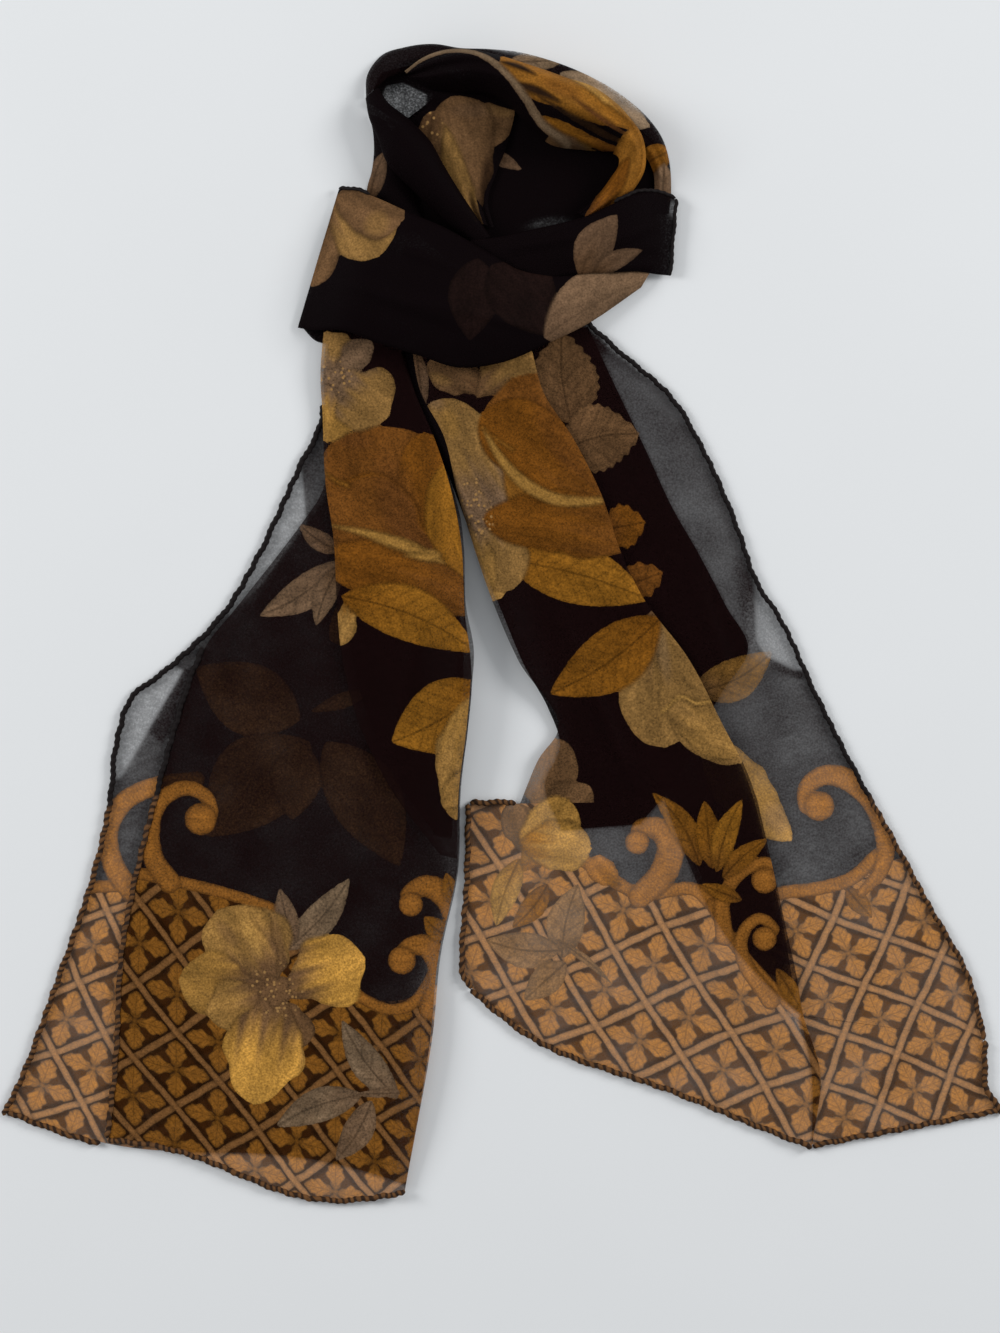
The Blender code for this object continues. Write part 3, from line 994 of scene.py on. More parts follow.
class Nodes:
    """Adds shader nodes to a tree and joins them."""

    def __init__(self, tree: bpy.types.NodeTree) -> None:
        """Keeps the tree."""
        self.tree = tree

    def add(self, kind: str, **settings: object) -> bpy.types.Node:
        """Adds a node.

        Args:
            kind: the node's type.
            settings: its properties, by name.

        Returns:
            The node.
        """
        node = self.tree.nodes.new(kind)
        for name, value in settings.items():
            setattr(node, name, value)
        return node

    def join(self, source: Value, target: Socket) -> None:
        """Feeds a socket from another socket, or gives it a value."""
        if isinstance(source, Socket):
            self.tree.links.new(source, target)
        elif source is not None:
            target.default_value = source

    def math(self, operation: str, a: Value, b: Value = None, c: Value = None, held: bool = False) -> Socket:
        """A Math node's value.

        Args:
            operation: the node's operation.
            a: its first value or socket.
            b: its second.
            c: its third.
            held: whether the value is kept between 0 and 1.

        Returns:
            The value's socket.
        """
        node = self.add("ShaderNodeMath", operation=operation, use_clamp=held)
        for socket, value in zip(node.inputs, (a, b, c)):
            self.join(value, socket)
        return node.outputs[0]

    def step(self, value: Value, low: float, high: float) -> Socket:
        """A smooth step of a value, falling where low is above high.

        Args:
            value: the value.
            low: where the step gives 0.
            high: where it gives 1.

        Returns:
            The step's socket.
        """
        node = self.add("ShaderNodeMapRange", interpolation_type="SMOOTHSTEP")
        ends = (low, high, 0.0, 1.0) if low < high else (high, low, 1.0, 0.0)
        self.join(value, node.inputs["Value"])
        for name, end in zip(("From Min", "From Max", "To Min", "To Max"), ends):
            node.inputs[name].default_value = end
        return node.outputs["Result"]

    def attribute(self, name: str, output: str = "Fac") -> Socket:
        """An attribute's socket."""
        return self.add("ShaderNodeAttribute", attribute_name=name).outputs[output]

    def centred(self, value: Value) -> Socket:
        """How far a value is from a half, whichever way."""
        return self.math("ABSOLUTE", self.math("SUBTRACT", value, 0.5))

    def parts(self, vector: Value) -> bpy.types.bpy_prop_collection:
        """Takes a vector apart.

        Args:
            vector: the vector.

        Returns:
            Its X, Y and Z sockets.
        """
        node = self.add("ShaderNodeSeparateXYZ")
        self.join(vector, node.inputs[0])
        return node.outputs

    def mix(self, share: Value, a: Value, b: Value, blend: str = "MIX") -> Socket:
        """A mixed colour.

        Args:
            share: how much of the second colour is taken.
            a: the first colour.
            b: the second.
            blend: how they are mixed.

        Returns:
            The colour's socket.
        """
        node = self.add("ShaderNodeMix", data_type="RGBA", blend_type=blend)
        self.join(share, node.inputs[0])
        for value, socket in ((a, node.inputs[6]), (b, node.inputs[7])):
            self.join((*value, 1.0) if isinstance(value, tuple) else value, socket)
        return node.outputs[2]

    def noise(self, vector: Value, scale: float, detail: float, output: str = "Fac") -> Socket:
        """A noise texture about a vector.

        Args:
            vector: where it is read.
            scale: how many times it repeats in a unit.
            detail: how many finer octaves it has.
            output: which of its sockets is given.

        Returns:
            The socket.
        """
        node = self.add("ShaderNodeTexNoise")
        self.join(vector, node.inputs["Vector"])
        node.inputs["Scale"].default_value = scale
        node.inputs["Detail"].default_value = detail
        return node.outputs[output]

    def vector_math(self, operation: str, *values: Value) -> Socket:
        """A Vector Math node's vector.

        Args:
            operation: the node's operation.
            values: its values or sockets, in order.

        Returns:
            The vector's socket.
        """
        node = self.add("ShaderNodeVectorMath", operation=operation)
        for socket, value in zip(node.inputs, values):
            self.join(value, socket)
        return node.outputs["Vector"]

    def surface(self, height: Value, strength: float, reach: float, rough: float, specular: float) -> None:
        """Gives the tree's shader a bumped, matt surface.

        Args:
            height: the bump's height.
            strength: how strongly it is felt.
            reach: how high it stands, in metres.
            rough: the shader's roughness.
            specular: its specular level.
        """
        bump = self.add("ShaderNodeBump")
        bump.inputs["Strength"].default_value = strength
        bump.inputs["Distance"].default_value = reach
        self.join(height, bump.inputs["Height"])
        self.join(bump.outputs["Normal"], self.shader.inputs["Normal"])
        self.matt(rough, specular)

    def matt(self, rough: float, specular: float) -> None:
        """Sets the shader's roughness and specular level."""
        self.shader.inputs["Roughness"].default_value = rough
        self.shader.inputs["Specular IOR Level"].default_value = specular

    @property
    def shader(self) -> bpy.types.Node:
        """The material's Principled shader."""
        return self.tree.nodes["Principled BSDF"]


def new_material(name: str) -> tuple[bpy.types.Material, Nodes]:
    """A material with its Principled shader.

    Args:
        name: the material's name.

    Returns:
        The material, and the Nodes to build it with.
    """
    made = bpy.data.materials.new(name)
    made.use_nodes = True
    return made, Nodes(made.node_tree)


def new_group(name: str, takes: dict[str, str], gives: dict[str, str]) -> tuple:
    """A shader node group with named sockets.

    Args:
        name: the group's name.
        takes: its inputs' names and kinds.
        gives: its outputs' names and kinds.

    Returns:
        The group, its Nodes, its input node and its output node.
    """
    group = bpy.data.node_groups.new(name, "ShaderNodeTree")
    for side, sockets in (("INPUT", takes), ("OUTPUT", gives)):
        for label, kind in sockets.items():
            group.interface.new_socket(label, in_out=side, socket_type=kind)
    return group, Nodes(group), group.nodes.new("NodeGroupInput"), group.nodes.new("NodeGroupOutput")


FLOAT, VECTOR = "NodeSocketFloat", "NodeSocketVector"


@dataclass(frozen=True)
class TrellisDrawing:
    """The trellis in one cell, a cell wide: its bars, and a rosette of four lobed leaves."""

    bar_half: float = 0.064
    leaf_start: float = -0.02
    leaf_length: float = 0.80
    leaf_half: float = 0.275
    scallop: float = 0.24
    lobes: float = 2.6
    heart: float = 0.075
    side_ribs: float = 5.0
    wander: float = 0.060
    wander_scale: float = 3.4

    def group(self) -> bpy.types.NodeTree:
        """Builds the drawing as a group that gives masks for bars and leaves, and how light each is.

        Returns:
            The group.
        """
        gives = {"Bar": FLOAT, "Leaf": FLOAT, "Light": FLOAT, "Gap": FLOAT}
        group, n, source, sink = new_group("trellis", {"Cells": VECTOR}, gives)
        part = n.parts(n.vector_math("FRACTION", self.shaken(n, source.outputs["Cells"])))
        x = n.math("SUBTRACT", part["X"], 0.5)
        y = n.math("SUBTRACT", part["Y"], 0.5)
        to_bar_x = n.math("SUBTRACT", 0.5, n.math("ABSOLUTE", x))
        to_bar_y = n.math("SUBTRACT", 0.5, n.math("ABSOLUTE", y))
        bar, bar_light = self.bars(n, to_bar_x, to_bar_y)
        p = n.math("ABSOLUTE", n.math("ADD", x, y))
        q = n.math("ABSOLUTE", n.math("SUBTRACT", x, y))
        to_bar = n.math("MINIMUM", to_bar_x, to_bar_y)
        clear = n.math("SUBTRACT", to_bar, self.bar_half + 0.02)
        leaf, leaf_light = self.leaves(n, n.math("MAXIMUM", p, q), n.math("MINIMUM", p, q), clear)
        clear_light = n.math("MULTIPLY_ADD", n.step(to_bar, 0.10, 0.17), 0.5, 0.5)
        light = n.math("ADD", n.math("MULTIPLY", bar, bar_light), n.math("MULTIPLY", leaf, leaf_light))
        for value, name in ((bar, "Bar"), (leaf, "Leaf"), (light, "Light"), (clear_light, "Gap")):
            n.join(value, sink.inputs[name])
        return group

    def shaken(self, n: Nodes, cells: Socket) -> Socket:
        """The cells' place moved about a little by noise, as a hand draws it.

        Args:
            n: the group's nodes.
            cells: the place in cells.

        Returns:
            The moved place.
        """
        shake = n.noise(cells, self.wander_scale, 3.0, "Color")
        return n.vector_math("MULTIPLY_ADD", shake, (self.wander, self.wander, 0.0), cells)

    def bars(self, n: Nodes, to_x: Socket, to_y: Socket) -> tuple[Socket, Socket]:
        """The bars: a mask, and a light that is round across each bar, one set lying over the other.

        Args:
            n: the group's nodes.
            to_x: how far the point is from a bar of the first set.
            to_y: how far it is from one of the second.

        Returns:
            The mask and the light.
        """
        edge = self.bar_half
        bar = n.step(n.math("MINIMUM", to_x, to_y), edge + 0.014, edge - 0.014)
        over = n.step(to_x, edge + 0.01, edge - 0.01)
        shaded = n.math("MULTIPLY_ADD", n.step(to_x, edge + 0.07, edge), -0.75, 1.0)
        round_x = n.math("SUBTRACT", 1.0, n.math("POWER", n.math("DIVIDE", to_x, edge), 2.0))
        round_y = n.math("SUBTRACT", 1.0, n.math("POWER", n.math("DIVIDE", to_y, edge), 2.0))
        tops = n.math("MAXIMUM", n.math("MULTIPLY", round_x, over), n.math("MULTIPLY", round_y, shaded))
        return bar, n.math("MULTIPLY_ADD", n.math("POWER", tops, 0.8), 0.65, 0.35)

    def leaves(self, n: Nodes, along: Socket, across: Socket, clear: Socket) -> tuple[Socket, Socket]:
        """The rosette: a round scalloped leaf to each corner, its ribs cut dark, joined at a heart.

        Args:
            n: the group's nodes.
            along: how far the point is along the nearest leaf.
            across: how far it is across it.
            clear: how far it is from the bars.

        Returns:
            The mask and the light.
        """
        share = n.math("DIVIDE", n.math("SUBTRACT", along, self.leaf_start), self.leaf_length, held=True)
        swell = n.math("POWER", n.math("SINE", n.math("MULTIPLY", n.math("POWER", share, 1.45), np.pi)), 0.55)
        wave = n.math("COSINE", n.math("MULTIPLY_ADD", share, np.pi * self.lobes, 0.15 * np.pi))
        wave = n.math("MULTIPLY", n.math("POWER", wave, 2.0), n.step(across, 0.03, 0.12))
        half = n.math("MULTIPLY", swell, n.math("MULTIPLY_ADD", wave, -self.scallop, 1.0))
        depth = n.math("SUBTRACT", n.math("MULTIPLY", half, self.leaf_half), across)
        depth = n.math("MINIMUM", depth, n.math("MULTIPLY", n.math("SUBTRACT", along, across), 0.6))
        depth = n.math("MINIMUM", depth, clear)
        squares = n.math("MULTIPLY_ADD", across, across, n.math("MULTIPLY", along, along))
        from_heart = n.math("SQRT", n.math("MULTIPLY", squares, 0.5))
        depth = n.math("MAXIMUM", depth, n.math("MULTIPLY", n.math("SUBTRACT", self.heart, from_heart), 0.8))
        leaf = n.step(depth, -0.018, 0.026)
        rib = n.math("MULTIPLY", n.step(across, 0.028, 0.006), n.step(along, 0.06, 0.20))
        at = n.math("FRACT", n.math("MULTIPLY", n.math("MULTIPLY_ADD", across, -1.1, along), self.side_ribs))
        side = n.step(n.centred(at), 0.22, 0.06)
        shown = n.math("MULTIPLY", n.step(across, 0.015, 0.04), n.step(share, 0.05, 0.25))
        side = n.math("MULTIPLY", side, shown)
        marks = n.math("MULTIPLY_ADD", n.math("MAXIMUM", n.math("MULTIPLY", rib, 1.3), side), -0.24, 1.0)
        body = n.math("MULTIPLY_ADD", n.step(depth, 0.0, 0.075), 0.55, 0.45)
        body = n.math("MULTIPLY", body, n.math("MULTIPLY_ADD", n.step(along, 0.06, 0.35), 0.32, 0.68))
        return leaf, n.math("MULTIPLY", body, marks)


@dataclass(frozen=True)
class CrepeSurface:
    """The cloth's own texture: fine crepe grain, a slower unevenness of the weave, and printed specks."""

    grain_scale: float = 1150.0
    patch_scale: float = 380.0
    slow_scale: float = 46.0
    speck_scale: float = 400.0
    detail: float = 3.0

    def group(self) -> bpy.types.NodeTree:
        """Builds the texture as a group that gives a fine grain, a soft patchiness and a height.

        Returns:
            The group.
        """
        gives = {"Grain": FLOAT, "Patch": FLOAT, "Slow": FLOAT, "Speck": FLOAT, "Height": FLOAT}
        group, n, _, sink = new_group("crepe", {}, gives)
        place = n.add("ShaderNodeTexCoord").outputs["Object"]
        scales = (self.grain_scale, self.patch_scale, self.slow_scale)
        fine, patch, slow = (n.noise(place, scale, self.detail) for scale in scales)
        cells = n.add("ShaderNodeTexVoronoi", feature="F1")
        n.join(place, cells.inputs["Vector"])
        cells.inputs["Scale"].default_value = self.speck_scale
        speck = n.step(cells.outputs["Distance"], 0.34, 0.18)
        height = n.math("MULTIPLY_ADD", patch, 0.5, fine)
        given = {"Grain": fine, "Patch": patch, "Slow": slow, "Speck": speck, "Height": height}
        for name, value in given.items():
            n.join(value, sink.inputs[name])
        return group


@dataclass(frozen=True)
class PrintedChiffon:
    """The printed sheer cloth: a black-brown field, the trellis border and the motifs over both."""

    field_colour: Colour = (0.0072, 0.0019, 0.0019)
    # Partly painted shade: the darker field where the cloth lies in several plies stands for the stack of
    # black layers and for the shade in the loop's hollow.
    plied_and_shade_colour: Colour = (0.0030, 0.0012, 0.0016)
    gap_colour: Colour = (0.034, 0.010, 0.0012)
    gap_lit: Colour = (0.116, 0.045, 0.009)
    bar_colour: Colour = (0.200, 0.090, 0.028)
    leaf_colour: Colour = (0.225, 0.088, 0.012)
    lit_tint: Colour = (0.034, 0.031, 0.026)
    density: float = 0.765
    inked_density: float = 0.86
    most_dense: float = 0.97
    gathered: float = 3.0  # painted shade: layers added by a patch that is thinner by minus one, so that a strip in shadow stops more light
    streak: tuple[float, float, float] = (0.09, 0.30, 0.0)  # streaks in a millimetre along and across
    roughness: float = 0.72
    specular: float = 0.03
    bump: float = 0.35
    bump_reach: float = 0.25 * MM

    def material(self, trellis: bpy.types.NodeTree, crepe: bpy.types.NodeTree) -> bpy.types.Material:
        """Builds the material from the two groups and the sheets' attributes.

        Args:
            trellis: the trellis group.
            crepe: the crepe group.

        Returns:
            The material.
        """
        made, n = new_material("printed_chiffon")
        cloth = n.add("ShaderNodeGroup", node_tree=crepe)
        n.join(self.colour(n, trellis, cloth), n.shader.inputs["Base Color"])
        n.join(self.alpha(n, cloth), n.shader.inputs["Alpha"])
        n.surface(cloth.outputs["Height"], self.bump, self.bump_reach, self.roughness, self.specular)
        return made

    def colour(self, n: Nodes, trellis: bpy.types.NodeTree, cloth: bpy.types.Node) -> Socket:
        """The colour: field, then trellis inside the border, then motifs, each with its own drawing.

        Args:
            n: the material's nodes.
            trellis: the trellis group.
            cloth: the crepe group's node.

        Returns:
            The colour's socket.
        """
        grain, patch = cloth.outputs["Grain"], cloth.outputs["Patch"]
        drawn = n.add("ShaderNodeGroup", node_tree=trellis)
        n.join(n.attribute("cells", "Vector"), drawn.inputs["Cells"])
        lit = n.attribute("lit")
        level = n.math("MULTIPLY_ADD", lit, 1.05, 1.0)
        ink = n.mix(drawn.outputs["Leaf"], self.bar_colour, self.leaf_colour)
        coarse, fine = n.math("MULTIPLY_ADD", patch, 0.6, 0.7), n.math("MULTIPLY_ADD", grain, 1.1, 0.45)
        mottle = n.math("MULTIPLY", coarse, fine)
        light = n.math("MULTIPLY", drawn.outputs["Light"], mottle)
        inked = n.mix(1.0, ink, n.math("MULTIPLY", light, level), "MULTIPLY")
        inked = n.mix(1.0, inked, n.mix(lit, (0.0, 0.0, 0.0), self.lit_tint), "ADD")
        on_trellis = n.math("MAXIMUM", drawn.outputs["Bar"], drawn.outputs["Leaf"])
        gap = n.mix(1.0, n.mix(lit, self.gap_colour, self.gap_lit), drawn.outputs["Gap"], "MULTIPLY")
        border = n.mix(on_trellis, gap, inked)
        ragged = n.math("MULTIPLY", n.math("SUBTRACT", patch, 0.5), 0.9)
        in_border = n.step(n.math("ADD", n.attribute("border"), ragged), -0.2, 0.2)
        # Painted shade in part: the field darkens where the plies are many, as on the floor of the loop's
        # hollow.
        plain = n.mix(n.step(n.attribute("plies"), 1.3, 2.5), self.field_colour, self.plied_and_shade_colour)
        ground = n.mix(in_border, plain, border)
        motif = self.motif(n, grain, patch, cloth.outputs["Speck"])
        inside = n.step(n.math("ADD", n.attribute("cover"), ragged), -0.16, 0.16)
        return n.mix(inside, ground, motif)

    def motif(self, n: Nodes, grain: Socket, patch: Socket, speck: Socket) -> Socket:
        """A motif's colour: its tone, streaked along it, veined or hatched, and deeper beside its edge.

        Args:
            n: the material's nodes.
            grain: the crepe's fine grain.
            patch: its soft patchiness.
            speck: the mask of the printed specks.

        Returns:
            The colour's socket.
        """
        local = n.attribute("grain", "Vector")
        along, side, veined = n.parts(local)
        across = n.math("ABSOLUTE", side)
        rib = n.step(across, 0.75, 0.25)
        climb = n.math("MULTIPLY", n.math("POWER", across, 0.8), -1.5)
        at = n.math("FRACT", n.math("MULTIPLY", n.math("ADD", climb, along), 0.14))
        branch = n.step(n.centred(at), 0.20, 0.0)
        lines = n.math("MAXIMUM", rib, n.math("MULTIPLY", branch, 0.55))
        veins = n.math("MULTIPLY", n.math("MULTIPLY", lines, veined), 0.40)
        cuts = n.math("FRACT", n.math("MULTIPLY", along, 0.62))
        cuts = n.step(n.centred(cuts), 0.3, 0.0)
        hatch = n.math("MULTIPLY", n.math("MULTIPLY", cuts, n.attribute("hatch")), 0.16)
        drawn_out = n.vector_math("MULTIPLY", local, self.streak)
        streak = n.noise(drawn_out, 1.0, 4.0)
        edge = n.math("MULTIPLY", n.step(n.attribute("rim"), 1.5, 0.0), 0.34)
        dark = n.math("MAXIMUM", n.math("MAXIMUM", veins, hatch), edge)
        level = n.math("MULTIPLY_ADD", streak, 1.1, 0.45)
        level = n.math("MULTIPLY", level, n.math("SUBTRACT", 1.0, dark))
        level = n.math("MULTIPLY", level, n.math("MULTIPLY_ADD", grain, 1.5, 0.25))
        level = n.math("MULTIPLY", level, n.math("MULTIPLY_ADD", patch, 0.44, 0.78))
        plain = n.mix(1.0, n.attribute("tone", "Color"), level, "MULTIPLY")
        return n.mix(n.math("MULTIPLY", n.attribute("speck"), speck), plain, Ink.POLLEN.value)

    def alpha(self, n: Nodes, cloth: bpy.types.Node) -> Socket:
        """How much light the cloth stops: one less what passes a layer, to the power of its layers.

        Args:
            n: the material's nodes.
            cloth: the crepe group's node.

        Returns:
            The value's socket.
        """
        # Above zero the thin mask is partly painted light: the tails' windows open the cloth where the table
        # is lit under a lifted edge.
        thin = n.attribute("thin")
        sparkle = n.math("MULTIPLY_ADD", cloth.outputs["Grain"], 3.0, -0.5)
        kept = n.math("SUBTRACT", 1.0, n.math("MULTIPLY", n.math("MAXIMUM", thin, 0.0), sparkle))
        kept = n.math("MAXIMUM", kept, 0.0)
        # Below zero the thin mask is painted shade: it adds plies so that strips in shadow stop more light.
        plies = n.math("MULTIPLY_ADD", n.math("MINIMUM", thin, 0.0), -self.gathered, n.attribute("plies"))
        slow = n.math("MULTIPLY_ADD", cloth.outputs["Slow"], 0.36, 0.82)
        inked = n.step(n.math("MAXIMUM", n.attribute("cover"), n.attribute("border")), -0.2, 0.2)
        from_mean = n.math("SUBTRACT", cloth.outputs["Grain"], 0.5)
        uneven = n.math("MULTIPLY_ADD", from_mean, n.math("MULTIPLY_ADD", inked, -0.42, 0.92), 1.0)
        density = n.math("MULTIPLY_ADD", inked, self.inked_density - self.density, self.density)
        solid = n.math("MULTIPLY", n.math("MULTIPLY", kept, density), n.math("MULTIPLY", uneven, slow))
        through = n.math("SUBTRACT", 1.0, n.math("MINIMUM", solid, self.most_dense))
        return n.math("SUBTRACT", 1.0, n.math("POWER", through, plies), held=True)


@dataclass(frozen=True)
class RolledHemFinish:
    """The rolled hem: the cloth's own colours wound tight, with dark stitches slanted round it."""

    dark: Colour = (0.006, 0.0035, 0.0035)
    light: Colour = (0.135, 0.060, 0.020)
    roughness: float = 0.7
    specular: float = 0.15
    bump: float = 0.5
    bump_reach: float = 0.3 * MM

    def material(self, crepe: bpy.types.NodeTree) -> bpy.types.Material:
        """Builds the material: the print's tone, broken by stitches that wind once in a pitch.

        Args:
            crepe: the crepe group.

        Returns:
            The material.
        """
        made, n = new_material("rolled_hem")
        cloth = n.add("ShaderNodeGroup", node_tree=crepe)
        run, around, in_print = n.parts(n.attribute("wound", "Vector"))
        turns = n.math("ADD", n.math("DIVIDE", run, STITCH_PITCH), around)
        turns = n.math("MULTIPLY_ADD", cloth.outputs["Slow"], 5.0, turns)
        stitch = n.step(n.centred(n.math("FRACT", turns)), 0.33, 0.14)
        mottle = n.math("MULTIPLY_ADD", cloth.outputs["Patch"], 1.8, 0.1)
        printed = n.math("MULTIPLY", in_print, mottle)
        colour = n.mix(printed, self.dark, self.light)
        colour = n.mix(n.math("MULTIPLY", stitch, 0.85), colour, self.dark)
        n.join(colour, n.shader.inputs["Base Color"])
        n.surface(cloth.outputs["Height"], self.bump, self.bump_reach, self.roughness, self.specular)
        return made


@dataclass(frozen=True)
class TableFinish:
    """A plain pale table top."""

    colour: Colour = (0.80, 0.815, 0.825)
    mottle_scale: float = 9.0
    roughness: float = 0.85
    specular: float = 0.1

    def material(self) -> bpy.types.Material:
        """Builds the material: a pale matt colour with a faint mottle.

        Returns:
            The material.
        """
        made, n = new_material("pale_table")
        place = n.add("ShaderNodeTexCoord").outputs["Object"]
        mottle = n.noise(place, self.mottle_scale, 3.0)
        level = n.math("MULTIPLY_ADD", mottle, 0.03, 0.985)
        n.join(n.mix(1.0, self.colour, level, "MULTIPLY"), n.shader.inputs["Base Color"])
        n.matt(self.roughness, self.specular)
        return made


@dataclass(frozen=True)
class Finishes:
    """The materials that the pieces take."""

    cloth: bpy.types.Material
    hem: bpy.types.Material

    @classmethod
    def made(cls) -> "Finishes":
        """Builds the two groups and the materials that use them.

        Returns:
            The finishes.
        """
        crepe = CrepeSurface().group()
        cloth = PrintedChiffon().material(TrellisDrawing().group(), crepe)
        return cls(cloth, RolledHemFinish().material(crepe))


# ---------------------------------------------------------------- hems


@dataclass(frozen=True)
class RolledHem:
    """A rolled hem along one edge of a stretch, between two shares of it, wound with stitches."""

    part: str
    edge: Edge
    first: float = 0.0
    last: float = 1.0
    printed_from: float = 2.0
    printed_to: float = 2.0
    tip: float = 0.0
    radius: float = HEM_RADIUS
    sides: int = 10
    samples: int = 900
    step: float = 0.55 * MM
    set_out: float = 0.5  # how far the hem's middle stands off the sheet's edge, in its own radius
    lift: float = 0.2 * MM
    wobble: float = 0.24  # how far it wanders from its line, in its own radius
    wobble_length: float = 1.9 * MM
    drift_length: float = 7 * MM
    swelling: float = 0.16
    taper: float = 1.2 * MM
    least_height: float = 0.05 * MM

    @property
    def name(self) -> str:
        """The piece's name."""
        return f"{self.part}_hem"

    @property
    def node(self) -> str:
        """The node that the piece stands for."""
        return f"hem_{self.part}"

    def line(self, stretch: Stretch) -> Array:
        """The hem's middle line: the sheet's edge, moved out by half the hem's radius and a small wobble.

        Args:
            stretch: the sheet that the hem ends.

        Returns:
            Points in metres, one a row.
        """
        shares = np.linspace(self.first, self.last, self.samples)
        if self.edge in (Edge.LEFT, Edge.RIGHT):
            u = np.array([0.0, 0.03]) if self.edge is Edge.LEFT else np.array([1.0, 0.97])
            x, y, z, _ = stretch.surface(u, shares)
        else:
            v = np.array([0.0, 0.02]) if self.edge is Edge.START else np.array([1.0, 0.98])
            x, y, z, _ = (part.T for part in stretch.surface(shares, v))
        line, inside = (in_metres(x[:, k], y[:, k], z[:, k]) for k in (0, 1))
        way = np.gradient(line[:, :2], axis=0)
        outward = np.stack([way[:, 1], -way[:, 0]], axis=1)
        outward /= np.linalg.norm(outward, axis=1, keepdims=True)
        if ((inside - line)[:, :2] * outward).sum() > 0:
            outward = -outward
        run = run_along(line)
        swing = np.sin(run / self.wobble_length + 1.3 * np.sin(run / self.drift_length))
        out = self.set_out * self.radius + self.wobble * self.radius * swing
        line[:, :2] += outward * out[:, None]
        line[:, 2] = np.maximum(line[:, 2] + self.lift, self.radius)
        even = np.linspace(0, run[-1], int(run[-1] / self.step) + 2)
        line = np.stack([np.interp(even, run, line[:, k]) for k in range(3)], axis=1)
        onward = (line[-1] - line[-5]) / np.linalg.norm(line[-1] - line[-5])
        reach = np.arange(0.5, self.tip + 0.01, 0.5)[:, None] * MM
        return np.concatenate([line, line[-1] + onward * reach])

    def build(self, stretch: Stretch, finish: bpy.types.Material) -> bpy.types.Object:
        """Makes the hem: a circle carried along its line, swelling between stitches, its ends tapered.

        Args:
            stretch: the sheet that the hem ends.
            finish: the hem's material.

        Returns:
            The hem.
        """
        line = self.line(stretch)
        run = run_along(line)
        way = np.gradient(line, axis=0)
        way /= np.linalg.norm(way, axis=1, keepdims=True)
        side = np.cross(way, (0.0, 0.0, 1.0))
        side /= np.linalg.norm(side, axis=1, keepdims=True)
        up = np.cross(side, way)
        around = np.arange(self.sides) / self.sides
        angle = 2 * np.pi * around
        swell = 1 + self.swelling * np.sin(2 * np.pi * (run[:, None] / (STITCH_PITCH * MM) + around))
        ends = np.sqrt(np.clip(np.minimum(run, run[-1] - run) / self.taper, 0.04, 1))
        radius = self.radius * swell * ends[:, None]
        points = (
            line[:, None, :]
            + side[:, None, :] * (np.cos(angle) * radius)[..., None]
            + up[:, None, :] * (np.sin(angle) * radius)[..., None]
        )
        points[..., 2] = np.maximum(points[..., 2], self.least_height)
        rings = len(line)
        index = np.arange(rings * self.sides).reshape(rings, self.sides)
        after = np.roll(index, -1, axis=1)
        quads = np.stack([index[:-1], after[:-1], after[1:], index[1:]], axis=-1).reshape(-1, 4)
        caps = (index[0, ::-1], index[-1])
        piece = mesh_object(self.name, points.reshape(-1, 3), quads, finish, caps)
        share, blur = run / run[-1], 0.02
        in_print = smooth_step((share - self.printed_from) / blur)
        in_print = in_print * smooth_step((self.printed_to - share) / blur)
        runs, prints = (np.repeat(values, self.sides) for values in (run / MM, in_print))
        wound = np.stack([runs, np.tile(around, rings), prints], axis=1)
        set_values(piece.data, "FLOAT_VECTOR", wound=wound)
        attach(piece, "root")
        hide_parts(self.node)
        return piece


# ---------------------------------------------------------------- the sub-assemblies


@dataclass
class SubAssembly:
    """Stretches of the cloth, lowest first, and the hems along their edges."""

    def layers(self) -> list[Stretch]:
        """The stretches, lowest first."""
        raise NotImplementedError

    def hems(self) -> dict[str, list[RolledHem]]:
        """The hems, by the stretch that they end."""
        return {}

    def build(self, finishes: Finishes) -> list[bpy.types.Object]:
        """Builds every sheet and its hems, and logs the size each sheet was cut to.

        Args:
            finishes: the materials.

        Returns:
            The sheets.
        """
        made: list[bpy.types.Object] = []
        hems = self.hems()
        for layer in self.layers():
            piece = layer.build(finishes.cloth)
            rolled = [hem.build(layer, finishes.hem) for hem in hems.get(layer.name, [])]
            layer.declare(piece, [made[-1].name if made else "table"], rolled)
            made.append(piece)
        LOG.info("%s: %d sheets", type(self).__name__, len(made))
        return made

    @staticmethod
    def stacked(layers: list[Stretch], relief: tuple[Crease, ...]) -> list[Stretch]:
        """Tells each layer which lie below it, those it joins left out, and how the stack is lifted.

        Args:
            layers: the stretches, lowest first.
            relief: the creases that lift them all.

        Returns:
            The same stretches.
        """
        for number, layer in enumerate(layers):
            layer.below = [other for other in layers[:number] if other.name not in layer.joins]
            layer.relief = relief
        return layers


